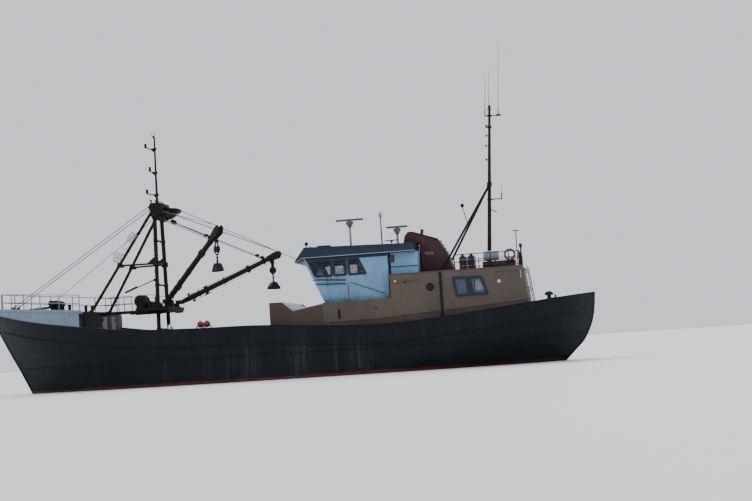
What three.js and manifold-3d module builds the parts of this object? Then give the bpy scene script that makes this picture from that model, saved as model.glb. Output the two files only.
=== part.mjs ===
// Fishing trawler, about 36 m long, with a derrick on each side of its foremast.
// Millimetres. +X is forward, +Y is to port and +Z is up.
// The origin lies on the waterline, amidships, on the centreline.
import * as THREE from 'three';
import { mergeVertices } from 'three/addons/utils/BufferGeometryUtils.js';
import Module from 'manifold-3d';

const wasm = await Module();
wasm.setup();

// Driving dimensions
const GAP = 0.3;
const HALF_BEAM = 3850;
const DRAUGHT = 3150;
const KNUCKLE_Z = 1450;
const STERN_X = -17290;
const BULWARK_HEIGHT = 950;
const BULWARK_THICKNESS = 110;
const WIDEST_X = 800;
const FORECASTLE_X = 11620;
const WALL = 110;

const CASING_HALF = 2850;
const CASING_FRONT_X = -2200;
const CASING_STEP_X = -6050;
const CASING_AFT_X = -13420;
const LOW_DECK_Z = 4100;
const BOAT_DECK_Z = 5380;
const DECK_PLATE = 120;

const HOUSE_HALF = 2300;
const HOUSE_AFT_X = -5930;
const HOUSE_TOP_Z = 6660;
const HOUSE_FRONT_X = -2230;
const HOUSE_RAKE = 0.43;

const LEG_X = 7880;
const LEG_TOP_Z = 9780;
const PLATFORM_TOP_Z = 4500;
const PLATFORM_THICKNESS = 140;
const PLATFORM_AFT_X = 7060;

const SLEW_X = 7320;
const SLEW_Y = 1250;
const TOPPING_Z = 4880;
const TOPPING_REACH = 260;
const DERRICK_LENGTH = 8000;
const DERRICK_AZIMUTH = 131;

const SHAFT_Z = -1950;
const PROPELLER_X = -13250;
const RUDDER_X = -14350;
const SHAFT_BORE = 96;
const STOCK_BORE = 130;
const PINTLE_BORE = 64;
const BOSS_AFT_X = -12980;
const SHOE_TOP_Z = -3000;

// Colours and finishes
const material = (color, roughness, metalness = 0) =>
  new THREE.MeshStandardMaterial({ color, roughness, metalness });
const PAINT = {
  black: [0x15171b, 0.55],
  paleBlue: [0xb9c9d6, 0.5],
  white: [0xdfe3e4, 0.45],
  ochre: [0x8a6a48, 0.6],
  navy: [0x1c2c48, 0.5],
  maroon: [0x5a2326, 0.6],
  mast: [0x3a2f2b, 0.6],
  steel: [0x6b6e70, 0.5, 0.6],
  deck: [0x4d5a52, 0.8],
  bronze: [0x9a7a3c, 0.35, 0.9],
  glass: [0x8fa6b4, 0.1],
  dark: [0x24262a, 0.7],
  antifouling: [0x5b2420, 0.75],
};

// Solids from three.js geometries
function solidOf(geometry) {
  const bare = geometry.clone();
  bare.deleteAttribute('normal');
  bare.deleteAttribute('uv');
  const merged = mergeVertices(bare, 0.01);
  return new wasm.Manifold(new wasm.Mesh({
    numProp: 3,
    vertProperties: new Float32Array(merged.attributes.position.array),
    triVerts: new Uint32Array(merged.index.array),
  }));
}

function geometryOf(solid) {
  const mesh = solid.getMesh();
  const geometry = new THREE.BufferGeometry();
  const positions = new THREE.BufferAttribute(new Float32Array(mesh.vertProperties), 3);
  geometry.setAttribute('position', positions);
  geometry.setIndex(new THREE.BufferAttribute(new Uint32Array(mesh.triVerts), 1));
  return geometry;
}

function join(...solids) {
  return solids.flat().reduce((whole, next) => whole.add(next));
}

function cut(solid, ...tools) {
  return tools.flat().reduce((rest, tool) => rest.subtract(tool), solid);
}

function shifted(solid, x, y, z) {
  return solidOf(geometryOf(solid).translate(x, y, z));
}

// What stands on a carrier ends a hair above it
function seated(solid, carrier, x = 0, y = 0, z = GAP) {
  return solid.subtract(shifted(carrier, x, y, z));
}

function box(x0, x1, y0, y1, z0, z1) {
  const geometry = new THREE.BoxGeometry(x1 - x0, y1 - y0, z1 - z0);
  geometry.translate((x0 + x1) / 2, (y0 + y1) / 2, (z0 + z1) / 2);
  return solidOf(geometry);
}

// Round bar from one point to another, twisted about its own axis if asked
function bar(from, to, radius, sides = 8, endRadius = radius, twist = 0) {
  const start = new THREE.Vector3(...from);
  const end = new THREE.Vector3(...to);
  const run = end.clone().sub(start);
  const geometry = new THREE.CylinderGeometry(endRadius, radius, run.length(), sides);
  geometry.rotateY(twist);
  const turn = new THREE.Quaternion().setFromUnitVectors(
    new THREE.Vector3(0, 1, 0), run.clone().normalize());
  geometry.applyQuaternion(turn);
  geometry.translate(...start.add(end).multiplyScalar(0.5).toArray());
  return solidOf(geometry);
}

// Pin that turns in a bore of this radius, its corners a hair off the middles of the bore's flats
function pinIn(boreRadius, from, to, sides) {
  const radius = boreRadius * Math.cos(Math.PI / sides) - GAP;
  return bar(from, to, radius, sides, radius, Math.PI / sides);
}

// Outline drawn in side view, points [x, z], as wide as from y0 to y1
function sideProfile(points, y0, y1) {
  const shape = new THREE.Shape(points.map(([x, z]) => new THREE.Vector2(x, z)));
  const geometry = new THREE.ExtrudeGeometry(shape, { depth: y1 - y0, bevelEnabled: false });
  geometry.rotateX(Math.PI / 2);
  geometry.translate(0, y1, 0);
  return solidOf(geometry);
}

// Outline drawn in end view, points [y, z], as long as from x0 to x1
function endProfile(points, x0, x1) {
  const shape = new THREE.Shape(points.map(([y, z]) => new THREE.Vector2(y, z)));
  const geometry = new THREE.ExtrudeGeometry(shape, { depth: x1 - x0, bevelEnabled: false });
  geometry.applyMatrix4(new THREE.Matrix4().makeBasis(
    new THREE.Vector3(0, 1, 0), new THREE.Vector3(0, 0, 1), new THREE.Vector3(1, 0, 0)));
  geometry.translate(x0, 0, 0);
  return solidOf(geometry);
}

// Turned form about a line through (x, y, z); profile rows are [radius, height]
function turned(profile, x, y, z, axis = 'z', sides = 12) {
  const geometry = new THREE.LatheGeometry(profile.map(([r, h]) => new THREE.Vector2(r, h)), sides);
  if (axis === 'z') geometry.rotateX(Math.PI / 2);
  if (axis === 'x') geometry.rotateZ(-Math.PI / 2);
  geometry.translate(x, y, z);
  return solidOf(geometry);
}

// Height or breadth read from a short table of [x, value] rows, smoothly
function along(rows, x) {
  const last = rows.length - 1;
  if (x <= rows[0][0]) return rows[0][1];
  if (x >= rows[last][0]) return rows[last][1];
  const i = rows.findIndex(([place]) => place > x) - 1;
  const slope = (a, b) => (rows[b][1] - rows[a][1]) / (rows[b][0] - rows[a][0]);
  const step = rows[i + 1][0] - rows[i][0];
  const t = (x - rows[i][0]) / step;
  const in0 = slope(Math.max(i - 1, 0), i + 1) * step;
  const in1 = slope(i, Math.min(i + 2, last)) * step;
  return rows[i][1] * (2 * t ** 3 - 3 * t ** 2 + 1) + in0 * (t ** 3 - 2 * t ** 2 + t)
    + rows[i + 1][1] * (3 * t ** 2 - 2 * t ** 3) + in1 * (t ** 3 - t ** 2);
}

// A block warped by a function of (u, side, level); it stays one closed body
function warped(stations, levels, place) {
  const geometry = new THREE.BoxGeometry(1, 2, 1, stations, 1, levels);
  const spot = geometry.attributes.position;
  for (let i = 0; i < spot.count; i += 1) {
    const station = Math.round((spot.getX(i) + 0.5) * stations);
    const level = Math.round((spot.getZ(i) + 0.5) * levels);
    spot.setXYZ(i, ...place(station / stations, Math.sign(spot.getY(i)), level));
  }
  return solidOf(geometry);
}

// Hull lines. Top of the bulwark, rows [x, z]
const SHEER = [
  [STERN_X, 3730], [-13500, 3310], [-9400, 2880], [-5500, 2650], [-2000, 2820], [1500, 3050],
  [5000, 3110], [9200, 3300], [12000, 3690], [14300, 4030], [16300, 4410], [18650, 4940],
];
const sheer = (x) => along(SHEER, x);
const deckHeight = (x) => sheer(x) - BULWARK_HEIGHT;

// Levels up the side: height, end of the stern and fullness of its two ends
const LEVELS = [
  // z, stern x, stern fullness, bow fullness
  [-DRAUGHT, -12650, 3.0, 1.8],
  [-3000, -12630, 2.0, 1.8],
  [-2750, -12610, 1.8, 1.8],
  [-2350, -12600, 1.8, 1.9],
  [-1800, -12580, 1.9, 2.0],
  [-1100, -12600, 2.1, 2.1],
  [-600, -12800, 2.4, 2.2],
  [-350, -13900, 2.6, 2.3],
  [250, -15500, 3.2, 2.5],
  [900, -16350, 5.0, 2.8],
  [KNUCKLE_Z, -16750, 6.5, 3.2],
];
// Above the knuckle a level is a share of the way up to the sheer
const UPPER = [
  // share, stern x, stern fullness, bow fullness
  [0.35, -17080, 7.5, 3.8],
  [0.7, -17230, 8.2, 4.4],
  [1, STERN_X, 9.0, 5.0],
];
const ALL_LEVELS = [...LEVELS, ...UPPER];

function bowX(z) {
  const depth = Math.min(Math.max(-z / DRAUGHT, 0), 1);
  return 16150 + 0.5 * z - 3200 * (1 - Math.sqrt(1 - depth ** 2));
}

function breadthAt(z) {
  const depth = Math.min(Math.max(-z / DRAUGHT, 0), 1);
  return HALF_BEAM * (1 - depth ** 4) ** 0.8;
}

// Half breadth at x on a level that ends at sternX and stemX
function halfBreadth(x, z, sternX, stemX, sternFull, bowFull) {
  const forward = x > WIDEST_X;
  const end = forward ? stemX : sternX;
  const t = Math.min((x - WIDEST_X) / (end - WIDEST_X), 1);
  return breadthAt(z) * (1 - t ** (forward ? bowFull : sternFull));
}

function hullPoint(u, side, level) {
  const [rise, sternX, sternFull, bowFull] = ALL_LEVELS[level];
  const upper = level >= LEVELS.length;
  const bowZ = upper ? KNUCKLE_Z + rise * (sheer(18650) - KNUCKLE_Z) : rise;
  const stemX = bowX(bowZ);
  const even = 0.45 * u + 0.55 * (1 - Math.cos(Math.PI * u)) / 2;
  const x = sternX + (stemX - sternX) * even;
  const z = upper ? KNUCKLE_Z + rise * (sheer(x) - KNUCKLE_Z) : rise;
  const y = Math.max(halfBreadth(x, z, sternX, stemX, sternFull, bowFull), 70);
  return [x, side * y, z];
}

// Half breadth at x, at a share of the height from the knuckle up to the sheer
function sideHalf(x, share) {
  const rows = [[0, ...LEVELS[LEVELS.length - 1].slice(1)], ...UPPER];
  const i = Math.min(rows.findIndex(([top]) => top >= share), rows.length - 1);
  const [low, high] = [rows[Math.max(i - 1, 0)], rows[i]];
  const at = ([rise, sternX, sternFull, bowFull]) => halfBreadth(x, 0, sternX,
    bowX(KNUCKLE_Z + rise * (sheer(18650) - KNUCKLE_Z)), sternFull, bowFull);
  const t = high === low ? 0 : (share - low[0]) / (high[0] - low[0]);
  return at(low) + (at(high) - at(low)) * t;
}

// Half breadth at the top of the bulwark
const topHalf = (x) => halfBreadth(x, 0, STERN_X, bowX(4940), UPPER[2][2], UPPER[2][3]);

// Steel bar that guards the side along the knuckle
const BAR_PROUD = 45;
const BAR_HEIGHT = 110;

function makeHull() {
  const shell = warped(32, ALL_LEVELS.length - 1, hullPoint);
  const well = warped(24, 1, (u, side, level) => {
    const aft = STERN_X + 130;
    const x = aft + (FORECASTLE_X - aft) * (0.5 * u + 0.25 * (1 - Math.cos(Math.PI * u)));
    const deckShare = (deckHeight(x) - KNUCKLE_Z) / (sheer(x) - KNUCKLE_Z);
    const top = topHalf(x) - BULWARK_THICKNESS;
    const low = sideHalf(x, deckShare) - BULWARK_THICKNESS;
    const lean = (top - low) / BULWARK_HEIGHT;
    const y = level ? top + lean * 200 : low;
    return [x, side * Math.max(y, 40), level ? sheer(x) + 200 : deckHeight(x)];
  });
  const rubbingBar = warped(30, 1, (u, side, level) => {
    const [, sternX, sternFull, bowFull] = LEVELS[LEVELS.length - 1];
    const stemX = bowX(KNUCKLE_Z);
    const x = sternX + (stemX - sternX) * (0.45 * u + 0.55 * (1 - Math.cos(Math.PI * u)) / 2);
    const y = Math.max(halfBreadth(x, KNUCKLE_Z, sternX, stemX, sternFull, bowFull), 40) + BAR_PROUD;
    return [x, side * y, KNUCKLE_Z + (level - 0.5) * BAR_HEIGHT];
  });
  const shoe = [box(-14350, -12500, -110, 110, -DRAUGHT - 60, SHOE_TOP_Z),
    bar([RUDDER_X, 0, -DRAUGHT - 60], [RUDDER_X, 0, SHOE_TOP_Z], 200, 16)];
  const boss = bar([BOSS_AFT_X, 0, SHAFT_Z], [-11600, 0, SHAFT_Z], 230, 16);
  const shaftBore = bar([-13100, 0, SHAFT_Z], [-12100, 0, SHAFT_Z], SHAFT_BORE, 16);
  const stockBore = bar([RUDDER_X, 0, -900], [RUDDER_X, 0, 620], STOCK_BORE, 16);
  const pintleBore = bar([RUDDER_X, 0, -DRAUGHT - 10], [RUDDER_X, 0, -2900], PINTLE_BORE, 16);
  return cut(join(shell, rubbingBar, shoe, boss), well, shaftBore, stockBore, pintleBore);
}
const hull = makeHull();

// Forecastle: pale side and deck above the black bulwark
const forecastleDeck = (x) => 4530 + (x - 11800) * 0.086;
function makeForecastle() {
  const raised = warped(18, 1, (u, side, level) => {
    const x = FORECASTLE_X + (18560 - FORECASTLE_X) * Math.sin(u * Math.PI / 2);
    const y = Math.max(topHalf(x) - 60, 50);
    return [x, side * y, level ? forecastleDeck(x) : sheer(x) - 60];
  });
  return seated(raised, hull);
}
const forecastle = makeForecastle();

// Door hinges. The pin line stands off the outer face, at the doorway's edge, and each knuckle of
// the leaf sits between two of the frame, a hair apart. out and inward are unit steps [x, y]: out
// of the face, and from the edge towards the leaf. lean is how far x moves for each unit of height.
const HINGE_OFF = 32;
const KNUCKLE = 60;
const STRAP_INSET = 5;
function knuckle({ edge, out, inward, lean = 0 }, toward, z) {
  const at = (away, across, height) => [
    edge[0] + out[0] * away + inward[0] * across + lean * height,
    edge[1] + out[1] * away + inward[1] * across,
    height,
  ];
  const barrel = bar(at(HINGE_OFF, 0, z), at(HINGE_OFF, 0, z + KNUCKLE), 24, 10);
  const [x0, y0] = at(-20, toward * 2, z + KNUCKLE / 2);
  const [x1, y1] = at(HINGE_OFF + 10, toward * 55, z + KNUCKLE / 2);
  const strap = box(Math.min(x0, x1), Math.max(x0, x1), Math.min(y0, y1), Math.max(y0, y1),
    z + STRAP_INSET, z + KNUCKLE - STRAP_INSET);
  return join(barrel, strap);
}
function leafKnuckles(hinge, heights) {
  return heights.map((z) => knuckle(hinge, 1, z - KNUCKLE / 2));
}
function frameKnuckles(hinge, heights) {
  return heights.flatMap((z) => [z + KNUCKLE / 2 + GAP, z - KNUCKLE * 1.5 - GAP]
    .map((foot) => knuckle(hinge, -1, foot)));
}

// Bulkhead with two openings for doors
const FORE_DOOR = { width: 780, bottom: 2830, top: 4300, clearance: 8, thickness: 50 };
const FORE_DOORS = [
  // node, centre y, side that carries the hinge
  { name: 'forecastle_door_middle', y: -170, hinge: 1 },
  { name: 'forecastle_door_starboard', y: -1740, hinge: -1 },
];
const FORE_KNUCKLES = [3020, 4080];
const BULKHEAD_X = FORECASTLE_X - 80;
const foreHinge = ({ y, hinge }) => ({
  edge: [BULKHEAD_X, y + hinge * FORE_DOOR.width / 2], out: [-1, 0], inward: [0, -hinge],
});
function makeBulkhead() {
  const plate = box(BULKHEAD_X, FORECASTLE_X - GAP, -3180, 3180, 2600, 4520);
  const holes = FORE_DOORS.map(({ y }) => box(BULKHEAD_X - 50, FORECASTLE_X + 50,
    y - FORE_DOOR.width / 2, y + FORE_DOOR.width / 2, FORE_DOOR.bottom, FORE_DOOR.top));
  const knuckles = FORE_DOORS.flatMap((door) => frameKnuckles(foreHinge(door), FORE_KNUCKLES));
  return seated(join(cut(plate, holes), knuckles), hull);
}

function makeForeDoor(door) {
  const { y, hinge } = door;
  const { width, bottom, top, clearance, thickness } = FORE_DOOR;
  const half = width / 2 - clearance;
  const leaf = box(BULKHEAD_X, BULKHEAD_X + thickness, y - half, y + half,
    bottom + clearance, top - clearance);
  const grip = y - hinge * (half - 95);
  const handle = box(BULKHEAD_X - 50, BULKHEAD_X + 10, grip - 35, grip + 35, 3500, 3560);
  return join(leaf, handle, leafKnuckles(foreHinge(door), FORE_KNUCKLES));
}

// Rail of posts, a top rail and a middle rail through points [x, y, z]
function railing(points, height, radius = 32) {
  const lift = ([x, y, z], by) => [x, y, z + by];
  const posts = points.map((p) => bar(p, lift(p, height + radius), radius, 6));
  const bars = [0.5, 1].flatMap((share) => points.slice(1).map((p, i) =>
    bar(lift(points[i], height * share), lift(p, height * share), radius * 0.68, 6)));
  return join(posts, bars);
}

function makeBowRail() {
  const stations = [11800, 13100, 14400, 15600, 16600, 17400];
  const edge = stations.map((x) => [x, topHalf(x) - 230, forecastleDeck(x) - 20]);
  const nose = [[17850, 0, forecastleDeck(17850) - 20]];
  const far = [...edge].reverse().map(([x, y, z]) => [x, -y, z]);
  return seated(railing([...edge, ...nose, ...far], 980), forecastle);
}

// Windlass on the forecastle
const WINDLASS_X = 14400;
const WINDLASS_Z = 5230;
function makeWindlass() {
  const bed = box(WINDLASS_X - 420, WINDLASS_X + 420, -620, 620, 4600, 4860);
  const cheeks = [-400, 0, 400].map((mid) =>
    box(WINDLASS_X - 170, WINDLASS_X + 170, mid - 45, mid + 45, 4800, 5420));
  const at = (y) => [WINDLASS_X, y, WINDLASS_Z];
  const shaft = bar(at(-960), at(960), 52, 12);
  const barrels = [-200, 200].map((mid) => bar(at(mid - 145), at(mid + 145), 150, 12));
  const ends = [-1, 1].flatMap((side) => [
    bar(at(side * 470), at(side * 900), 130, 12),
    bar(at(side * 460), at(side * 500), 190, 12),
    bar(at(side * 870), at(side * 910), 190, 12),
  ]);
  return seated(join(bed, cheeks, shaft, barrels, ends), forecastle);
}

// Foremast: a portal of two legs with bars across
const LEG_RADIUS = 115;
const legY = (z) => 1060 - (z - 2200) * 0.049;
function legSolids(grow = 0) {
  return [-1, 1].map((side) => bar([LEG_X, side * legY(1900), 1900],
    [LEG_X, side * legY(9900), 9900], LEG_RADIUS + grow, 12));
}
function makeForemastLegs() {
  const rungs = [3300, 5900, 7150, 8500].map((z) => bar([LEG_X, -legY(z), z], [LEG_X, legY(z), z], 60, 8));
  const above = box(LEG_X - 900, LEG_X + 900, -2000, 2000, LEG_TOP_Z - GAP, 11000);
  return seated(cut(join(legSolids(), rungs), above), hull);
}

function makeRakingLeg(side) {
  const strutZ = 7150;
  const leg = bar([7970, side * 650, 10350], [11780, side * 1560, 4440], 85, 10);
  const strut = bar([LEG_X, side * legY(strutZ), strutZ], [10000, side * 1120, strutZ], 55, 8);
  const gusset = sideProfile([[9700, 7020], [10220, 7020], [10120, 7330], [9880, 7330]],
    side * 1120 - 35, side * 1120 + 35);
  const collar = bar([LEG_X, side * legY(7000), 7000], [LEG_X, side * legY(7300), 7300], 200, 12);
  const whole = cut(join(leg, strut, gusset, collar), legSolids(GAP), foremastBars());
  return seated(seated(seated(whole, mastHead, GAP, 0, -GAP), forecastle), hull);
}
// The bar between the legs at the strut's height, a little grown, to clear the collars
function foremastBars() {
  return bar([LEG_X, -900, 7150], [LEG_X, 900, 7150], 60 + GAP, 8);
}

// Mast head, rows [x, z] of its side outline
const HEAD_OUTLINE = [
  [8200, 10450], [8080, 10720], [7600, 10720], [7400, 10680], [7400, 10450], [6560, 10330],
  [6540, 10180], [7520, LEG_TOP_Z], [8010, LEG_TOP_Z], [8030, 10050],
];
const HEAD_HALF = 850;
const BEAK_HALF = 420;
const FORESTAY_Y = 380;
const LUG_OUTLINE = [[8000, 10500], [8300, 10480], [8340, 10560], [8290, 10630], [8000, 10720]];
function makeMastHead() {
  const block = sideProfile(HEAD_OUTLINE, -HEAD_HALF, HEAD_HALF);
  const arms = [-1, 1].map((side) => box(SLEW_X - 90, SLEW_X + 90,
    side > 0 ? 800 : -SLEW_Y - 90, side > 0 ? SLEW_Y + 90 : -800, 10150, 10400));
  const beside = [-1, 1].map((side) => box(6300, 7000,
    side > 0 ? BEAK_HALF : -HEAD_HALF - 50, side > 0 ? HEAD_HALF + 50 : -BEAK_HALF, 9900, 10500));
  const lugs = [-FORESTAY_Y, FORESTAY_Y].map((y) => sideProfile(LUG_OUTLINE, y - 35, y + 35));
  return join(cut(block, beside), arms, lugs);
}
const mastHead = makeMastHead();

// Topmast with lamps on brackets, rows [height, forward reach]
const TOPMAST_LAMPS = [[14120, 470], [12790, 340], [11490, 470]];
const TOPMAST_X = 7890;
function makeTopmast() {
  const pole = bar([TOPMAST_X, 0, 10700], [TOPMAST_X, 0, 14740], 75, 10, 45);
  const lamps = TOPMAST_LAMPS.flatMap(([z, reach]) => [
    bar([TOPMAST_X, 0, z - 120], [TOPMAST_X + reach, 0, z - 120], 26, 6),
    bar([TOPMAST_X + reach, 0, z - 160], [TOPMAST_X + reach, 0, z + 110], 85, 10),
  ]);
  const vane = [-60, 200].map((dx) => bar([TOPMAST_X, 0, 14620], [TOPMAST_X + dx, 0, 14980], 22, 6));
  return seated(join(pole, lamps, vane), mastHead);
}

// Platform round the legs at the derricks' heels, with a catwalk forward
const DRUM_X = 9130;
const DRUM_Z = 5030;
const DRUM_FLANGE = 370;
const DRUM_BORE = 42;
const DRUM_CHEEK_Y = 430;
const SLEW_BORE = 92;
const BOSS_RISE = 60;
const BEAM_DEPTH = 100;
// Small winch for each derrick's topping wire: bed, two cheeks and a drum across
const PLATFORM_WINCH = { x: 8330, y: 720, z: 4760, half: 230 };
function makePlatformWinch(side) {
  const { x, y, z, half } = PLATFORM_WINCH;
  const mid = side * y;
  const at = (outward) => [x, side * (y + outward), z];
  const bed = box(x - 200, x + 200, mid - half - 20, mid + half + 20,
    PLATFORM_TOP_Z - 20, PLATFORM_TOP_Z + 60);
  const cheeks = [-half, half].map((offset) => box(x - 130, x + 130,
    mid + offset - 20, mid + offset + 20, PLATFORM_TOP_Z + 40, z + 130));
  const motor = bar(at(-half), at(-half - 220), 105, 10);
  return [bed, ...cheeks, bar(at(-half), at(half), 120, 12), motor];
}

function makePlatform() {
  const bottom = PLATFORM_TOP_Z - PLATFORM_THICKNESS;
  const deck = box(PLATFORM_AFT_X, 8900, -1650, 1650, bottom, PLATFORM_TOP_Z);
  const catwalk = box(8800, BULKHEAD_X - GAP, -520, 520, bottom, PLATFORM_TOP_Z);
  const beams = [-1, 1].map((side) => box(PLATFORM_AFT_X + 40, 9700,
    side * 560 - 60, side * 560 + 60, bottom - BEAM_DEPTH, bottom + 20));
  const cross = [7180, 8500].map((x) => box(x - 70, x + 70, -1600, 1600, bottom - BEAM_DEPTH, bottom + 20));
  const winches = [-1, 1].flatMap((side) => makePlatformWinch(side));
  const bosses = [-1, 1].map((side) => bar([SLEW_X, side * SLEW_Y, bottom - 120],
    [SLEW_X, side * SLEW_Y, PLATFORM_TOP_Z + BOSS_RISE], 190, 16));
  const bores = [-1, 1].map((side) => bar([SLEW_X, side * SLEW_Y, bottom + 20],
    [SLEW_X, side * SLEW_Y, PLATFORM_TOP_Z + 100], SLEW_BORE, 16));
  const cheeks = [-1, 1].map((side) => sideProfile(
    [[DRUM_X - 300, PLATFORM_TOP_Z - 10], [DRUM_X + 300, PLATFORM_TOP_Z - 10], [DRUM_X + 90, DRUM_Z + 90],
      [DRUM_X - 90, DRUM_Z + 90]], side * DRUM_CHEEK_Y - 25, side * DRUM_CHEEK_Y + 25));
  const drumBore = bar([DRUM_X, -600, DRUM_Z], [DRUM_X, 600, DRUM_Z], DRUM_BORE, 12);
  const solid = join(deck, catwalk, beams, cross, winches, bosses, cheeks);
  return cut(solid, bores, drumBore, legSolids(GAP));
}

function makeRopeDrum() {
  const at = (y) => [DRUM_X, y, DRUM_Z];
  const reach = DRUM_CHEEK_Y - 25 - GAP;
  const flanges = [-1, 1].map((side) => bar(at(side * 350), at(side * 390), DRUM_FLANGE, 18));
  const barrel = bar(at(-380), at(380), 250, 12);
  return join(pinIn(DRUM_BORE, at(-500), at(500), 12), barrel, flanges, bar(at(-reach), at(reach), 75, 12));
}

// Stays that brace the foremast
function makeForestay(side) {
  const wire = bar([8300, side * FORESTAY_Y, 10560], [17300, side * 300, 4960], 22, 6);
  return seated(seated(wire, mastHead, GAP, 0, 0), forecastle);
}

// Derrick gear. Each group stands on the slewing axis and turns to the derrick's bearing
const DERRICKS = [
  // side, name, rise of the derrick in degrees
  { side: 1, name: 'port', rise: 25.5 },
  { side: -1, name: 'starboard', rise: 21 },
];
const TOPPING_BORE = 58;
const LUG_BORE = 31;
const CHEEK_GAP = 130;
function makeGooseneck() {
  const low = PLATFORM_TOP_Z + BOSS_RISE + GAP - TOPPING_Z;
  const stem = pinIn(SLEW_BORE, [0, 0, PLATFORM_TOP_Z - PLATFORM_THICKNESS + 30 - TOPPING_Z], [0, 0, 40], 16);
  const collar = bar([0, 0, low], [0, 0, low + 60], 170, 16);
  const web = box(-60, 120, -CHEEK_GAP - 45, CHEEK_GAP + 45, -120, 120);
  const cheeks = [-1, 1].map((side) => box(60, TOPPING_REACH + 110,
    side > 0 ? CHEEK_GAP : -CHEEK_GAP - 45, side > 0 ? CHEEK_GAP + 45 : -CHEEK_GAP, -110, 110));
  const pinEnd = (side) => [TOPPING_REACH, side * (CHEEK_GAP + 80), 0];
  const pin = pinIn(TOPPING_BORE, pinEnd(-1), pinEnd(1), 16);
  return join(stem, collar, web, cheeks, pin);
}

// A derrick drawn along +X from its topping pin
const LUG_X = 7300;
const LUG_Z = -330;
// Side outline of the boom's head, rows [x from the boom's end, z]
const DERRICK_HEAD = [[-900, -170], [-120, -260], [130, -60], [60, 190], [-260, 230], [-900, 150]];
function makeDerrick() {
  const eye = cut(bar([0, -115, 0], [0, 115, 0], 120, 16), bar([0, -150, 0], [0, 150, 0], TOPPING_BORE, 16));
  const heel = box(80, 520, -80, 80, -95, 95);
  const boom = bar([420, 0, 0], [DERRICK_LENGTH - 300, 0, 0], 160, 12, 135);
  const head = sideProfile(DERRICK_HEAD.map(([x, z]) => [DERRICK_LENGTH + x, z]), -165, 165);
  const band = bar([5300, 0, 0], [5480, 0, 0], 205, 12);
  const plate = sideProfile([[LUG_X - 110, LUG_Z - 90], [LUG_X + 110, LUG_Z - 90], [LUG_X + 170, 0],
    [LUG_X - 170, 0]], -40, 40);
  const lug = cut(plate, bar([LUG_X, -80, LUG_Z], [LUG_X, 80, LUG_Z], LUG_BORE, 12));
  return join(eye, heel, boom, head, band, lug);
}

// Hoisting block that hangs from the derrick's lug: fork, sheave block, link and weight
function makeHangingBlock() {
  const fork = [-1, 1].map((side) => box(-60, 60, side * 75 - 20, side * 75 + 20, -330, 60));
  const pin = pinIn(LUG_BORE, [0, -110, 0], [0, 110, 0], 12);
  const block = bar([0, -110, -480], [0, 110, -480], 210, 12);
  const link = bar([0, 0, -640], [0, 0, -1250], 38, 8);
  const weight = sideProfile([[-140, -1230], [140, -1230], [400, -1560], [400, -1680], [-400, -1680],
    [-400, -1560]], -190, 190);
  return join(fork, pin, block, link, weight);
}

// Cargo hatch on the working deck, with a hinged lid
const HATCH = { aft: 3300, front: 5200, half: 850, top: 2840 };
function makeHatchCoaming() {
  const { aft, front, half, top } = HATCH;
  const outer = box(aft, front, -half, half, 1900, top);
  return seated(cut(outer, box(aft + 80, front - 80, -half + 80, half - 80, 2300, top + 50)), hull);
}
function makeHatchLid() {
  const { aft, front, half, top } = HATCH;
  const plate = box(aft - 40, front + 40, -half - 40, half + 40, top + GAP, top + 66);
  const ribs = [-450, 0, 450].map((y) => box(aft + 60, front - 60, y - 30, y + 30, top + 60, top + 110));
  return join(plate, ribs);
}

// Shelter in front of the wheelhouse, open forward, rows [x, z] of its top
const SHELTER_TOP = [[860, 4300], [120, 4290], [-500, 3760], [CASING_FRONT_X + GAP, 4040]];
function makeWinchShelter() {
  const outline = [...SHELTER_TOP, [CASING_FRONT_X + GAP, 1500], [860, 1500]];
  const outer = sideProfile(outline, -CASING_HALF, CASING_HALF);
  const inner = sideProfile([[1200, 4210], [120, 4200], [-500, 3670], [CASING_FRONT_X - 60, 3940],
    [CASING_FRONT_X - 60, 1400], [1200, 1400]], -CASING_HALF + 90, CASING_HALF - 90);
  return seated(cut(outer, inner), hull);
}

// Trawl winch in the shelter
const WINCH_X = -250;
const WINCH_Z = 2860;
const WINCH_BORE = 73;
function makeWinchFrame() {
  const bed = box(WINCH_X - 600, WINCH_X + 600, -2100, 2100, 1700, 2230);
  const cheeks = [-2000, 0, 2000].map((y) => sideProfile([[WINCH_X - 420, 2200], [WINCH_X + 420, 2200],
    [WINCH_X + 140, WINCH_Z + 150], [WINCH_X - 140, WINCH_Z + 150]], y - 50, y + 50));
  const bore = bar([WINCH_X, -2300, WINCH_Z], [WINCH_X, 2300, WINCH_Z], WINCH_BORE, 12);
  return seated(cut(join(bed, cheeks), bore), hull);
}
function makeWinchDrum() {
  const at = (y) => [WINCH_X, y, WINCH_Z];
  const shaft = pinIn(WINCH_BORE, at(-2450), at(2450), 12);
  const drums = [-1, 1].flatMap((side) => [
    bar(at(side * (50 + GAP)), at(side * (1950 - GAP)), 110, 12),
    bar(at(side * 100), at(side * 1900), 240, 12),
    bar(at(side * 120), at(side * 170), 520, 16),
    bar(at(side * 1830), at(side * 1880), 520, 16),
    bar(at(side * 2140), at(side * 2440), 190, 12),
  ]);
  return join(shaft, drums);
}

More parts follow.
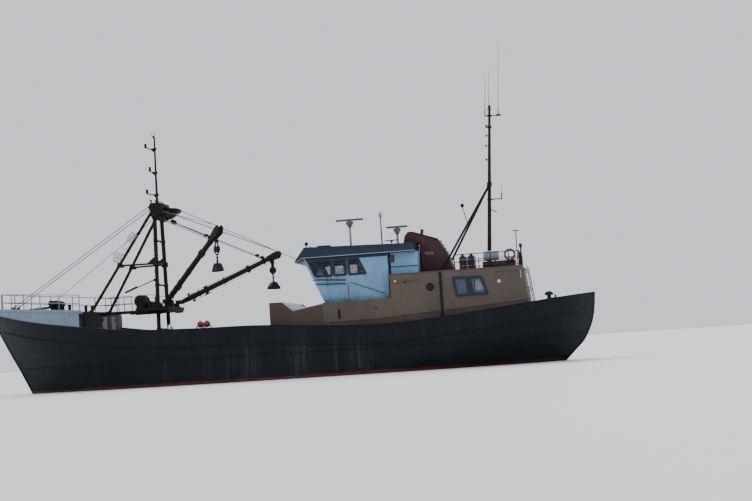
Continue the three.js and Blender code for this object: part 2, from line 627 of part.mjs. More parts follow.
// Deckhouse walls. Side outline rows [x, z]
const CASING_SIDE = [
  [CASING_FRONT_X, 1600], [CASING_FRONT_X, LOW_DECK_Z], [CASING_STEP_X, LOW_DECK_Z],
  [CASING_STEP_X, BOAT_DECK_Z], [CASING_AFT_X, BOAT_DECK_Z], [-13660, 3500], [-13740, 2200], [-8500, 1600],
];
const DOUBLE_WINDOW = [
  // two lights with raked ends, rows of [x, z] corners
  [[-9840, 5030], [-10620, 5030], [-10620, 4170], [-10030, 4170]],
  [[-10720, 5030], [-11240, 5030], [-11520, 4170], [-10720, 4170]],
];
const PORTHOLE = { x: -8280, z: 4560, radius: 165 };
function makeCasingSide(side) {
  const inner = side * (CASING_HALF - WALL);
  const outer = side * CASING_HALF;
  const [y0, y1] = side > 0 ? [inner, outer] : [outer, inner];
  const wall = sideProfile(CASING_SIDE, y0, y1);
  const lights = DOUBLE_WINDOW.map((corners) => sideProfile(corners, y0 - 50, y1 + 50));
  const { x, z, radius } = PORTHOLE;
  const port = bar([x, y0 - 50, z], [x, y1 + 50, z], radius, 16);
  const [out0, out1] = side > 0 ? [outer - 20, outer + 45] : [outer - 45, outer + 20];
  const strake = sideProfile([[-2260, 3010], [-5200, 3070], [-9300, 3310], [-13500, 3560], [-13500, 3500],
    [-9300, 3250], [-5200, 3010], [-2260, 2950]], out0, out1);
  return seated(cut(join(wall, strake), lights, port), hull);
}
const CASING_DOOR = { y: 0, width: 760, bottom: 2480, top: 4350, clearance: 8 };
const AFT_LEAN = 0.1277;
const aftFace = (z) => CASING_AFT_X - (BOAT_DECK_Z - z) * AFT_LEAN;
const CASING_HINGE = {
  edge: [aftFace(0), -CASING_DOOR.width / 2], out: [-1, 0], inward: [0, 1], lean: AFT_LEAN,
};
const CASING_KNUCKLES = [2700, 4100];
function makeCasingAft() {
  const half = CASING_HALF - WALL - GAP;
  const wall = sideProfile([[aftFace(5260) + WALL, 5260 - GAP], [aftFace(5260), 5260 - GAP],
    [aftFace(2300), 2300], [aftFace(2300) + WALL, 2300]], -half, half);
  const { width, bottom, top } = CASING_DOOR;
  const doorway = box(-14300, -13000, -width / 2, width / 2, bottom, top);
  return seated(join(cut(wall, doorway), frameKnuckles(CASING_HINGE, CASING_KNUCKLES)), hull);
}
// The aft door leaf leans with the wall
function makeCasingDoor() {
  const { width, bottom, top, clearance } = CASING_DOOR;
  const z0 = bottom + clearance;
  const z1 = top - clearance;
  const half = width / 2 - clearance;
  const leaf = sideProfile([[aftFace(z1) + 60, z1], [aftFace(z1) + 5, z1], [aftFace(z0) + 5, z0],
    [aftFace(z0) + 60, z0]], -half, half);
  const handle = box(aftFace(3400) - 45, aftFace(3400) + 20, half - 200, half - 80, 3380, 3440);
  return join(leaf, handle, leafKnuckles(CASING_HINGE, CASING_KNUCKLES));
}

// Plates that close the deckhouse
function makeLowDeck() {
  const half = CASING_HALF - WALL - GAP;
  const plate = box(CASING_STEP_X - 2 * GAP, CASING_FRONT_X, -half, half,
    LOW_DECK_Z - DECK_PLATE, LOW_DECK_Z);
  const front = box(CASING_FRONT_X - WALL, CASING_FRONT_X, -half, half, 1500, LOW_DECK_Z);
  return seated(join(plate, front), hull);
}
function makeBoatDeck() {
  const half = CASING_HALF - WALL - GAP;
  const front = CASING_STEP_X - 3 * GAP;
  const plate = box(aftFace(5260), front, -half, half, BOAT_DECK_Z - DECK_PLATE, BOAT_DECK_Z);
  const riser = box(CASING_STEP_X - WALL, front, -half, half, LOW_DECK_Z - DECK_PLATE, BOAT_DECK_Z);
  const above = sideProfile([[CASING_AFT_X, BOAT_DECK_Z + 50], [aftFace(5200), 5200], [-14500, 5200],
    [-14500, BOAT_DECK_Z + 50]], -3000, 3000);
  return cut(join(plate, riser), above);
}

// Wheelhouse: front raked forward at the top
const frontX = (z) => HOUSE_FRONT_X + (z - LOW_DECK_Z) * HOUSE_RAKE;
const HOUSE_BASE = LOW_DECK_Z + GAP;
const HOUSE_SIDE = [
  [frontX(HOUSE_BASE), HOUSE_BASE], [HOUSE_AFT_X, HOUSE_BASE], [HOUSE_AFT_X, HOUSE_TOP_Z],
  [frontX(HOUSE_TOP_Z), HOUSE_TOP_Z],
];
const BAND = { low: 5660, high: 6440 };
const SIDE_LIGHTS = [
  // corner rows [x, z], one light each
  [[frontX(BAND.high) - 260, BAND.high], [-2680, BAND.high], [-2680, BAND.low],
    [frontX(BAND.low) - 260, BAND.low]],
  [[-2920, BAND.high], [-3500, BAND.high], [-3500, BAND.low], [-2920, BAND.low]],
  [[-3760, BAND.high], [-4230, BAND.high], [-4570, BAND.low], [-3760, BAND.low]],
];
const HOUSE_DOOR = { aft: -5720, front: -4960, bottom: 4250, top: 6250, clearance: 8 };
const HOUSE_HINGE = { edge: [HOUSE_DOOR.front, -HOUSE_HALF], out: [0, -1], inward: [-1, 0] };
const HOUSE_KNUCKLES = [4500, 6000];
function makeHouseSide(side) {
  const inner = side * (HOUSE_HALF - WALL);
  const outer = side * HOUSE_HALF;
  const [y0, y1] = side > 0 ? [inner, outer] : [outer, inner];
  const wall = sideProfile(HOUSE_SIDE, y0, y1);
  const lights = SIDE_LIGHTS.map((corners) => sideProfile(corners, y0 - 50, y1 + 50));
  const { aft, front, bottom, top } = HOUSE_DOOR;
  const doorway = side < 0 ? [box(aft, front, y0 - 50, y1 + 50, bottom, top)] : [];
  const knuckles = side < 0 ? frameKnuckles(HOUSE_HINGE, HOUSE_KNUCKLES) : [];
  return join(cut(wall, lights, doorway), knuckles);
}
function makeHouseDoor() {
  const { aft, front, bottom, top, clearance } = HOUSE_DOOR;
  const leaf = box(aft + clearance, front - clearance, -HOUSE_HALF, -HOUSE_HALF + 55,
    bottom + clearance, top - clearance);
  const light = box(aft + 190, front - 190, -HOUSE_HALF - 50, -HOUSE_HALF + 100, 5500, 6050);
  const handle = box(aft + 60, aft + 180, -HOUSE_HALF - 50, -HOUSE_HALF + 20, 5120, 5170);
  return join(cut(leaf, light), handle, leafKnuckles(HOUSE_HINGE, HOUSE_KNUCKLES));
}
function makeHouseFront() {
  const half = HOUSE_HALF - WALL - GAP;
  const wall = sideProfile([[frontX(HOUSE_BASE), HOUSE_BASE], [frontX(HOUSE_TOP_Z), HOUSE_TOP_Z],
    [frontX(HOUSE_TOP_Z) - WALL, HOUSE_TOP_Z], [frontX(HOUSE_BASE) - WALL, HOUSE_BASE]], -half, half);
  const lights = [-1720, -860, 0, 860, 1720].map((y) =>
    box(-3000, 0, y - 350, y + 350, BAND.low, BAND.high));
  return cut(wall, lights);
}
function makeHouseAft() {
  const half = HOUSE_HALF - WALL - GAP;
  const wall = box(HOUSE_AFT_X, HOUSE_AFT_X + WALL, -half, half, HOUSE_BASE, HOUSE_TOP_Z);
  return wall;
}
// Radar scanners, rows: node, x, height of the scanner, scanner length
const RADARS = [
  { name: 'forward', x: -3560, top: 8880, length: 1620 },
  { name: 'aft', x: -6300, top: 8270, length: 1240 },
];
function makeRadarPedestal({ x, top }) {
  const post = bar([x, 0, 7000], [x, 0, top - 200], 60, 10);
  const gear = sideProfile([[x - 90, top - 390], [x + 90, top - 390], [x + 200, top - 200],
    [x + 200, top - 90], [x - 200, top - 90], [x - 200, top - 200]], -140, 140);
  return join(post, gear);
}
function makeRadarScanner({ x, top, length }) {
  return join(box(x - length / 2, x + length / 2, -60, 60, top - 50, top + 60),
    bar([x, 0, top - 90 + GAP], [x, 0, top], 90, 12));
}
function makeRoofPole() {
  const pole = bar([-5380, 0, 7000], [-5380, 0, 9220], 45, 8, 30);
  return join(pole, bar([-5380, 0, 8900], [-5380, 0, 9100], 70, 8));
}

function makeRoof() {
  const top = HOUSE_TOP_Z + GAP;
  const slab = sideProfile([[-1230, 7280], [-640, 6520], [-740, 6430], [frontX(top) + 60, top],
    [-7490, top], [-7490, 7100]], -2450, 2450);
  return join(slab, RADARS.map(makeRadarPedestal), makeRoofPole());
}
const roof = makeRoof();

// Glass sheets close behind the lights
function makeSideGlass(side) {
  const y = HOUSE_HALF - WALL - GAP;
  const [y0, y1] = side > 0 ? [y - 12, y] : [-y, -y + 12];
  const [high, low] = [BAND.high + 60, BAND.low - 60];
  return sideProfile([[frontX(BAND.high) - 200, high], [-4600, high], [-4640, low],
    [frontX(BAND.low) - 220, low]], y0, y1);
}
function makeFrontGlass() {
  const outer = (z) => frontX(z) - WALL - GAP * Math.hypot(1, HOUSE_RAKE);
  const high = BAND.high + 60;
  const low = BAND.low - 60;
  return sideProfile([[outer(low), low], [outer(high), high], [outer(high) - 13, high],
    [outer(low) - 13, low]], -2120, 2120);
}
function makeCasingGlass(side) {
  const y = CASING_HALF - WALL - GAP;
  const [y0, y1] = side > 0 ? [y - 12, y] : [-y, -y + 12];
  return box(-11620, -9780, y0, y1, 4110, 5090);
}

// Helm console and chair
function makeConsole() {
  return sideProfile([[-2450, HOUSE_BASE], [-2950, HOUSE_BASE], [-2950, 4950], [-2820, 5180], [-2250, 5300],
    [-2120, 5250], [-2330, 4600]], -1700, 1700);
}
function makeChair() {
  const foot = bar([-3900, 0, HOUSE_BASE], [-3900, 0, HOUSE_BASE + 60], 280, 12);
  const column = bar([-3900, 0, 4140], [-3900, 0, 4750], 55, 8);
  const seat = box(-4150, -3650, -250, 250, 4720, 4850);
  const back = sideProfile([[-4150, 4800], [-4050, 4800], [-4130, 5550], [-4230, 5550]], -240, 240);
  return join(foot, column, seat, back);
}

// Low white room behind the wheelhouse, and the funnel behind that
function makeAnnex() {
  return box(-7600, CASING_STEP_X - 1, -2000, 2000, BOAT_DECK_Z + GAP, HOUSE_TOP_Z);
}
function makeFunnel() {
  const foot = BOAT_DECK_Z + GAP;
  const stack = sideProfile([[-9560, foot], [-7640, foot], [-7640, 7160], [-6700, 7160],
    [-6800, 7640], [-6980, 7840], [-7280, 7840], [-8720, 7330], [-9200, 6480]], -880, 880);
  const pipe = bar([-7650, 0, 7500], [-7760, 0, 8020], 95, 12);
  return seated(join(stack, pipe), roof);
}

// Gear on the boat deck
function makeBoatDeckRail() {
  const y = CASING_HALF - WALL - 90;
  const z = BOAT_DECK_Z - 20;
  const port = [-9700, -10700, -11700, -12700, -13260].map((x) => [x, y, z]);
  const aft = [1350, 0, -1350].map((side) => [-13260, side, z]);
  const starboard = [-13260, -12700, -11700, -10700, -9700].map((x) => [x, -y, z]);
  const lampPole = [-13260, 2550];
  const lamp = [bar([...lampPole, z], [...lampPole, 6760], 40, 8),
    bar([...lampPole, 6700], [...lampPole, 6900], 95, 10)];
  const thinPole = [bar([-13260, 0, z], [-13260, 0, 7580], 28, 6),
    bar([-13460, 0, 7520], [-13060, 0, 7520], 22, 6)];
  return seated(join(railing([...port, ...aft, ...starboard], 880, 30), lamp, thinPole), makeBoatDeck());
}
const LOCKER_TOP = 5760;
function makeLocker() {
  return box(-13050, -11250, 1000, 2560, BOAT_DECK_Z + GAP, LOCKER_TOP);
}
function makeRaft() {
  const canister = turned([[0, -430], [200, -430], [265, -380], [275, 0], [265, 380], [200, 430], [0, 430]],
    -11730, 2150, 6080, 'x', 14);
  const cradle = [-11950, -11510].map((x) => box(x - 35, x + 35, 1900, 2400, LOCKER_TOP + GAP, 5950));
  return join(canister, cradle);
}
function makeGasBottles() {
  const outline = [[0, 0], [165, 0], [175, 60], [175, 690], [110, 800], [60, 840], [60, 910], [0, 910]];
  const bottles = [-10150, -10620].map((x) => turned(outline, x, 2350, BOAT_DECK_Z + GAP, 'z', 12));
  const rack = box(-10640, -10130, 2180, 2240, 5650, 5720);
  return join(bottles, rack);
}
// Aft mast: raked pole, two struts, yards and whip aerials
const AFT_FOOT_X = -11450;
const aftMastX = (z) => AFT_FOOT_X - (z - BOAT_DECK_Z) * 0.07;
function makeAftMast() {
  const at = (z, dx = 0, y = 0) => [aftMastX(z) + dx, y, z];
  const pole = bar(at(BOAT_DECK_Z + GAP), at(14700), 125, 12, 70);
  const struts = [-1, 1].map((side) => bar(at(10300), [-8780, side * 1250, BOAT_DECK_Z + 20], 62, 8));
  const yards = [
    // height, forward reach, aft reach
    [14250, 400, 520], [13600, 420, 60], [9640, 60, 700], [9000, 60, 380],
  ].map(([z, front, back]) => bar(at(z, front), at(z, -back), 30, 6));
  const spread = [14000, 12200].map((z) => bar(at(z, 0, -650), at(z, 0, 650), 30, 6));
  const whips = [
    // x offset, y, foot, tip
    [-480, 0, 14230, 18300], [380, 0, 14230, 16600], [0, 600, 13980, 16800], [-680, 0, 9620, 10400],
  ].map(([dx, y, foot, tip]) => bar(at(foot, dx, y), at(tip, dx, y), 20, 6));
  const whole = join(pole, struts, yards, spread, whips);
  return cut(whole, box(-13000, -8000, -2000, 2000, 5000, BOAT_DECK_Z + GAP));
}

// Stern gear
function makeMushroomVent() {
  return seated(join(bar([-14750, 2000, 2350], [-14750, 2000, 3760], 110, 10),
    turned([[0, 0], [240, 0], [240, 70], [120, 190], [0, 210]], -14750, 2000, 3700, 'z', 12)), hull);
}
function makeBollards() {
  const bed = box(-15800, -14950, -190, 190, 2300, 2830);
  const posts = [-15580, -15170].map((x) => bar([x, 0, 2800], [x, 0, 3200], 115, 12));
  const cross = bar([-15780, 0, 3050], [-14970, 0, 3050], 45, 8);
  return seated(join(bed, posts, cross), hull);
}

// Rudder and propeller
function makeRudder() {
  const stock = pinIn(STOCK_BORE, [RUDDER_X, 0, -900], [RUDDER_X, 0, 560], 16);
  const pintle = pinIn(PINTLE_BORE, [RUDDER_X, 0, -DRAUGHT], [RUDDER_X, 0, -2900], 16);
  const disc = bar([RUDDER_X, 0, SHOE_TOP_Z + GAP], [RUDDER_X, 0, -2900], 150, 16);
  const blade = endProfile([[-95, -2930], [95, -2930], [95, -780], [-95, -780]], -15750, RUDDER_X);
  const nose = bar([RUDDER_X, 0, -2930], [RUDDER_X, 0, -780], 170, 12);
  return join(stock, pintle, disc, blade, nose);
}
function makePropeller() {
  const nose = BOSS_AFT_X - GAP - PROPELLER_X;
  const hubOutline = [[0, -230], [150, -230], [200, 0], [190, nose], [0, nose]];
  const hub = turned(hubOutline, PROPELLER_X, 0, SHAFT_Z, 'x', 16);
  const shaft = pinIn(SHAFT_BORE, [PROPELLER_X, 0, SHAFT_Z], [-12150, 0, SHAFT_Z], 16);
  const blades = [0, 1, 2, 3].map((index) => {
    const geometry = new THREE.BoxGeometry(1, 1, 1, 2, 6, 1);
    const spot = geometry.attributes.position;
    for (let i = 0; i < spot.count; i += 1) {
      const reach = spot.getY(i) + 0.5;
      const radius = 120 + reach * 830;
      const chord = 300 + 320 * Math.sin(Math.PI * Math.min(reach * 0.9 + 0.1, 1));
      const pitch = Math.atan2(1500, 2 * Math.PI * radius);
      const across = spot.getX(i) * chord;
      const thick = spot.getZ(i) * (60 - 42 * reach) * (1 - 1.2 * spot.getX(i) ** 2);
      spot.setXYZ(i, across * Math.sin(pitch) + thick * Math.cos(pitch),
        across * Math.cos(pitch) - thick * Math.sin(pitch), radius);
    }
    geometry.rotateX(index * Math.PI / 2);
    geometry.translate(PROPELLER_X, 0, SHAFT_Z);
    return solidOf(geometry);
  });
  return join(hub, shaft, blades);
}

// The stay from the mast head to the wheelhouse roof
function makeMainStay() {
  const wire = bar([6600, 0, 10280], [-760, 0, 6600], 20, 6);
  return seated(seated(wire, mastHead, -GAP, 0, 0), roof, GAP, 0, GAP);
}

// Assembly
const trawler = new THREE.Group();
function place(name, solid, paint, parent = trawler) {
  const mesh = new THREE.Mesh(geometryOf(solid), material(...PAINT[paint]));
  mesh.name = name;
  parent.add(mesh);
}

place('hull', hull, 'black');
place('forecastle', forecastle, 'paleBlue');
place('forecastle_bulkhead', makeBulkhead(), 'dark');
for (const door of FORE_DOORS) place(door.name, makeForeDoor(door), 'paleBlue');
place('bow_rail', makeBowRail(), 'white');
place('windlass', makeWindlass(), 'dark');
place('foremast_legs', makeForemastLegs(), 'mast');
place('raking_leg_port', makeRakingLeg(1), 'mast');
place('raking_leg_starboard', makeRakingLeg(-1), 'mast');
place('mast_head', mastHead, 'mast');
place('topmast', makeTopmast(), 'mast');
place('mast_platform', makePlatform(), 'mast');
place('rope_drum', makeRopeDrum(), 'dark');
place('forestay_port', makeForestay(1), 'steel');
place('forestay_starboard', makeForestay(-1), 'steel');
place('main_stay', makeMainStay(), 'steel');
place('hatch_coaming', makeHatchCoaming(), 'mast');
place('hatch_lid', makeHatchLid(), 'steel');
place('winch_shelter', makeWinchShelter(), 'ochre');
place('winch_frame', makeWinchFrame(), 'dark');
place('winch_drum', makeWinchDrum(), 'steel');
place('casing_port', makeCasingSide(1), 'ochre');
place('casing_starboard', makeCasingSide(-1), 'ochre');
place('casing_aft', makeCasingAft(), 'ochre');
place('casing_door', makeCasingDoor(), 'ochre');
place('wheelhouse_deck', makeLowDeck(), 'deck');
place('boat_deck', makeBoatDeck(), 'deck');
place('casing_glass_port', makeCasingGlass(1), 'glass');
place('casing_glass_starboard', makeCasingGlass(-1), 'glass');
place('wheelhouse_port', makeHouseSide(1), 'white');
place('wheelhouse_starboard', makeHouseSide(-1), 'white');
place('wheelhouse_front', makeHouseFront(), 'white');
place('wheelhouse_aft', makeHouseAft(), 'white');
place('wheelhouse_door', makeHouseDoor(), 'white');
place('wheelhouse_roof', roof, 'navy');
place('glass_port', makeSideGlass(1), 'glass');
place('glass_starboard', makeSideGlass(-1), 'glass');
place('glass_front', makeFrontGlass(), 'glass');
place('helm_console', makeConsole(), 'dark');
place('helm_chair', makeChair(), 'dark');
place('annex', makeAnnex(), 'white');
place('funnel', makeFunnel(), 'maroon');
place('boat_deck_rail', makeBoatDeckRail(), 'white');
place('boat_deck_locker', makeLocker(), 'ochre');
place('raft_canister', makeRaft(), 'white');
place('gas_bottles', makeGasBottles(), 'maroon');
place('aft_mast', makeAftMast(), 'mast');
for (const radar of RADARS) {
  place(`radar_scanner_${radar.name}`, makeRadarScanner(radar), 'dark');
}
place('mushroom_vent', makeMushroomVent(), 'dark');
place('stern_bollards', makeBollards(), 'dark');
place('rudder', makeRudder(), 'antifouling');
place('propeller', makePropeller(), 'bronze');

for (const { side, name, rise } of DERRICKS) {
  const heel = new THREE.Group();
  heel.position.set(SLEW_X, side * SLEW_Y, TOPPING_Z);
  heel.rotation.z = side * THREE.MathUtils.degToRad(DERRICK_AZIMUTH);
  trawler.add(heel);
  place(`gooseneck_${name}`, makeGooseneck(), 'dark', heel);

  const boom = new THREE.Group();
  boom.position.x = TOPPING_REACH;
  boom.rotation.y = -THREE.MathUtils.degToRad(rise);
  heel.add(boom);
  place(`derrick_${name}`, makeDerrick(), 'mast', boom);

  const hanging = new THREE.Group();
  hanging.position.set(LUG_X, 0, LUG_Z);
  hanging.rotation.y = THREE.MathUtils.degToRad(rise);
  boom.add(hanging);
  place(`hoisting_block_${name}`, makeHangingBlock(), 'dark', hanging);
}

export default trawler;
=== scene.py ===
"""Looks of a fishing trawler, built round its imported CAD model.

Metres. +X is forward, +Y is to port and +Z is up. The origin lies on the waterline, amidships.
"""
import math
import random

import bmesh
import bpy
from mathutils import Matrix, Vector


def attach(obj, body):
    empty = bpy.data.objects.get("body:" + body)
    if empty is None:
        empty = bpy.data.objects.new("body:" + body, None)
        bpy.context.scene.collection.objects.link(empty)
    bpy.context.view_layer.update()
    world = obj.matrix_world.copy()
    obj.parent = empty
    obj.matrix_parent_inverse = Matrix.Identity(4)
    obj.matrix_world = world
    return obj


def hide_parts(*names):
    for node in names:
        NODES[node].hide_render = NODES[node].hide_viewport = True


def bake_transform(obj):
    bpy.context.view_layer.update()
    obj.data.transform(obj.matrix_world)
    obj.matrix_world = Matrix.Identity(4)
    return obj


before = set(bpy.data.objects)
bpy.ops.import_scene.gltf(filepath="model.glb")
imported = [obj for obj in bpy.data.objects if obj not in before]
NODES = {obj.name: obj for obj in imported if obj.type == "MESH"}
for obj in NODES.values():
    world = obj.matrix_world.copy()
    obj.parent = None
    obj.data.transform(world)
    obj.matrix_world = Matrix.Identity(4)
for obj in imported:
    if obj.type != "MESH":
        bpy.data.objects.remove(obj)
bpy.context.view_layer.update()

rng = random.Random(7)
ALONG, ACROSS, UP = (1, 0, 0), (0, 1, 0), (0, 0, 1)
SIDES = (1, -1)
NAMED_SIDES = ((1, "port"), (-1, "starboard"))


# Camera: a little aft of the port beam, close above the water
PHOTO_WIDTH = 752
FOCAL_PIXELS = 1384
SENSOR_WIDTH = 36
FAR = 3000
CAMERA_PLACE = (-16.10672658, 79.02846604, 1.4194821)
CAMERA_AXES = Matrix((
    # columns: to the right, up and back
    (-0.98754209, -0.07406566, -0.13883408),
    (-0.14336947, 0.05988375, 0.98785583),
    (-0.06485229, 0.99545377, -0.06975647),
))
camera_data = bpy.data.cameras.new("camera")
camera_data.sensor_width = SENSOR_WIDTH
camera_data.lens = FOCAL_PIXELS * SENSOR_WIDTH / PHOTO_WIDTH
camera_data.clip_end = FAR
camera = bpy.data.objects.new("camera", camera_data)
bpy.context.scene.collection.objects.link(camera)
bpy.context.scene.camera = camera
camera.matrix_world = Matrix.Translation(CAMERA_PLACE) @ CAMERA_AXES.to_4x4()


# Shader nodes of one material, added one at a time
class Nodes:
    def __init__(self, name):
        self.material = bpy.data.materials.new(name)
        self.material.use_nodes = True
        self.tree = self.material.node_tree
        self.tree.nodes.clear()
        self.place = self.add("TexCoord").outputs["Object"]
        self.x, self.y, self.z = self.add("SeparateXYZ", {"Vector": self.place}).outputs

    def add(self, kind, inputs=None, **settings):
        node = self.tree.nodes.new("ShaderNode" + kind)
        for key, value in settings.items():
            setattr(node, key, value)
        for key, value in (inputs or {}).items():
            if isinstance(value, bpy.types.NodeSocket):
                self.tree.links.new(value, node.inputs[key])
            else:
                node.inputs[key].default_value = value
        return node

    def noise(self, scale, detail=3.0, roughness=0.55, stretch=(1, 1, 1), seed=0.0):
        place = self.add("Mapping", {"Vector": self.place, "Location": (seed, seed * 0.7, seed * 0.3),
                                     "Scale": stretch}).outputs[0]
        return self.add("TexNoise", {"Vector": place, "Scale": scale, "Detail": detail,
                                     "Roughness": roughness}).outputs[0]

    def ramp(self, value, low, high, to_low=0.0, to_high=1.0):
        return self.add("MapRange", {"Value": value, "From Min": low, "From Max": high,
                                     "To Min": to_low, "To Max": to_high},
                        interpolation_type="SMOOTHSTEP").outputs[0]

    def math(self, operation, a, b=0.0, clamp=False):
        return self.add("Math", {0: a, 1: b}, operation=operation, use_clamp=clamp).outputs[0]

    def times(self, *values):
        total = values[0]
        for value in values[1:]:
            total = self.math("MULTIPLY", total, value)
        return total

    def plus(self, *values):
        total = values[0]
        for value in values[1:]:
            total = self.math("ADD", total, value)
        return self.math("ADD", total, 0.0, clamp=True)

    def mix(self, share, a, b):
        colours = [value if isinstance(value, bpy.types.NodeSocket) else (*value, 1) for value in (a, b)]
        return self.add("Mix", {0: share, 6: colours[0], 7: colours[1]}, data_type="RGBA").outputs[2]

    def bump(self, height, strength, distance, normal=None):
        inputs = {"Height": height, "Strength": strength, "Distance": distance}
        if normal:
            inputs["Normal"] = normal
        return self.add("Bump", inputs).outputs[0]

    def finish(self, **inputs):
        shader = self.add("BsdfPrincipled", {key.replace("_", " "): value for key, value in inputs.items()})
        self.add("OutputMaterial", {"Surface": shader.outputs[0]})
        return self.material


def shade(colour, factor):
    return tuple(min(value * factor, 1) for value in colour)


RUST_DARK = (0.045, 0.018, 0.010)
RUST_LIGHT = (0.26, 0.085, 0.022)
GRIME = (0.055, 0.048, 0.040)


def rust_colour(n):
    return n.mix(n.noise(9, 5, 0.6, seed=3), RUST_DARK, RUST_LIGHT)


def paint(name, colour, rust=0.3, grime=0.35, rough=0.42, streaks=1.0, dents=0.4, gloss=0.3):
    """Weathered paint on steel: uneven tone, dirt that ran down, rust in patches and runs."""
    n = Nodes(name)
    rusty, tone = weather(n, colour, rust, grime, streaks)
    return n.finish(Base_Color=tone, Specular_IOR_Level=gloss, **skin(n, rusty, rough, dents))


def weather(n, colour, rust, grime, streaks):
    """Share of rust and weathered colour of a painted plate."""
    tone = n.mix(n.ramp(n.noise(0.45, 4, 0.6), 0.3, 0.7), shade(colour, 0.84), shade(colour, 1.1))
    tone = n.mix(n.ramp(n.noise(5, 4, 0.6, seed=9), 0.45, 0.8, 0, 0.35), tone, shade(colour, 0.7))
    runs = n.noise(1, 5, 0.6, (5.5, 5.5, 0.35), seed=2)
    dirt = n.times(n.ramp(runs, 0.44, 0.78), n.ramp(n.noise(0.8, 3), 0.35, 0.65), grime * streaks)
    tone = n.mix(dirt, tone, GRIME)
    patches = n.ramp(n.noise(1.3, 9, 0.68, seed=5), 0.70 - 0.12 * rust, 0.76 - 0.10 * rust)
    run_rust = n.times(n.ramp(n.noise(1, 6, 0.62, (8, 8, 0.4), seed=6), 0.60, 0.74),
                       n.ramp(n.noise(0.55, 2, seed=8), 0.46, 0.64), min(rust * 2, 1) * streaks)
    rusty = n.plus(n.times(patches, min(1, 0.35 + rust)), run_rust)
    return rusty, n.mix(rusty, tone, rust_colour(n))


def skin(n, rusty, rough, dents):
    """Roughness and surface of a painted plate."""
    roughness = n.plus(n.ramp(n.noise(12, 4), 0.3, 0.7, rough - 0.08, rough + 0.1), n.times(rusty, 0.4))
    coarse = n.bump(n.noise(1.7, 2), dents, 0.02)
    fine = n.bump(n.plus(n.times(n.noise(70, 3), 0.3), n.times(rusty, n.noise(45, 4, 0.7), 0.7)),
                  0.35, 0.004, coarse)
    return {"Roughness": roughness, "Normal": fine}


# Salt that dried below the scuppers: place along the hull, half width and strength
SALT_RUNS = [
    (6.9, 0.25, 0.8), (4.35, 0.3, 0.6), (3.2, 0.2, 0.5), (1.9, 0.75, 0.7), (-0.9, 0.9, 0.8),
    (-2.9, 0.25, 0.6), (-4.3, 0.9, 0.9), (-9.0, 0.4, 0.3), (11.2, 0.3, 0.3),
]
SALT = (0.085, 0.095, 0.105)
WATERLINE_PAINT_Z = 0.16
HULL_BLACK = (0.0062, 0.0086, 0.0115)
BOTTOM_RED = (0.105, 0.024, 0.018)
BOTTOM_DARK = (0.045, 0.014, 0.012)
WEED = (0.022, 0.032, 0.016)
FRAME_SPACING = 0.61
PLATE_LENGTH = 1.83
STRAKE_WIDTH = 0.72
CASING_JOINT_X = -6.05
HOUSE_SEAM_X = -3.62
LIFEBUOY = (-12.78, 6.05)


def hull_paint(name):
    """Black side over red bottom paint, with salt runs, scrapes, plate seams and frames that show."""
    n = Nodes(name)
    rusty, tone = weather(n, HULL_BLACK, 0.10, 0.22, 0.7)
    ripple = n.noise(1, 4, 0.6, (0.6, 0.6, 3), seed=11)
    salt = 0.0
    for x, half, strength in SALT_RUNS:
        away = n.math("ABSOLUTE", n.math("SUBTRACT", n.x, x))
        salt = n.math("ADD", n.times(n.ramp(away, half * 0.2, half, 1, 0), strength), salt)
    threads = n.ramp(n.noise(1, 5, 0.65, (7, 7, 0.25), seed=13), 0.42, 0.72)
    below = n.ramp(n.z, 1.2, 2.5, 1, 0)
    salt = n.times(salt, threads, below, 0.5)
    tone = n.mix(salt, tone, SALT)
    scrape = n.times(n.ramp(n.noise(1, 8, 0.7, (1.2, 1.2, 5), seed=15), 0.62, 0.70),
                     n.ramp(n.z, 0.9, 1.5, 0.2, 1), 0.5)
    tone = n.mix(scrape, tone, rust_colour(n))
    bottom = n.mix(n.ramp(n.noise(1.5, 6, 0.65, seed=17), 0.4, 0.7), BOTTOM_RED, BOTTOM_DARK)
    weed = n.times(n.ramp(n.noise(2.5, 7, 0.7, seed=19), 0.45, 0.7), n.ramp(n.z, -1.2, 0.1, 0.15, 0.75))
    bottom = n.mix(weed, bottom, WEED)
    edge = n.math("ADD", n.z, n.ramp(ripple, 0.2, 0.8, -0.07, 0.07))
    tone = n.mix(n.ramp(edge, WATERLINE_PAINT_Z - 0.02, WATERLINE_PAINT_Z + 0.02), bottom, tone)

    frames = n.math("COSINE", n.math("MULTIPLY", n.x, 2 * math.pi / FRAME_SPACING))
    hollows = n.times(frames, n.noise(0.5, 2, seed=21))
    seams = n.ramp(n.math("PINGPONG", n.x, PLATE_LENGTH), 0.0, 0.02, 1, 0)
    strake = n.ramp(n.math("PINGPONG", n.math("ADD", n.z, 5.0), STRAKE_WIDTH), 0.0, 0.014, 1, 0)
    plates = n.bump(n.plus(seams, strake), 0.5, 0.005, n.bump(hollows, 0.35, 0.006))
    fine = n.bump(n.plus(n.times(n.noise(60, 3), 0.3), n.times(rusty, n.noise(45, 4, 0.7), 0.7)), 0.25,
                  0.003, plates)
    roughness = n.plus(n.ramp(n.noise(9, 4), 0.3, 0.7, 0.46, 0.66), n.times(rusty, 0.3), n.times(salt, 0.5))
    return n.finish(Base_Color=tone, Roughness=roughness, Normal=fine, Specular_IOR_Level=0.15)


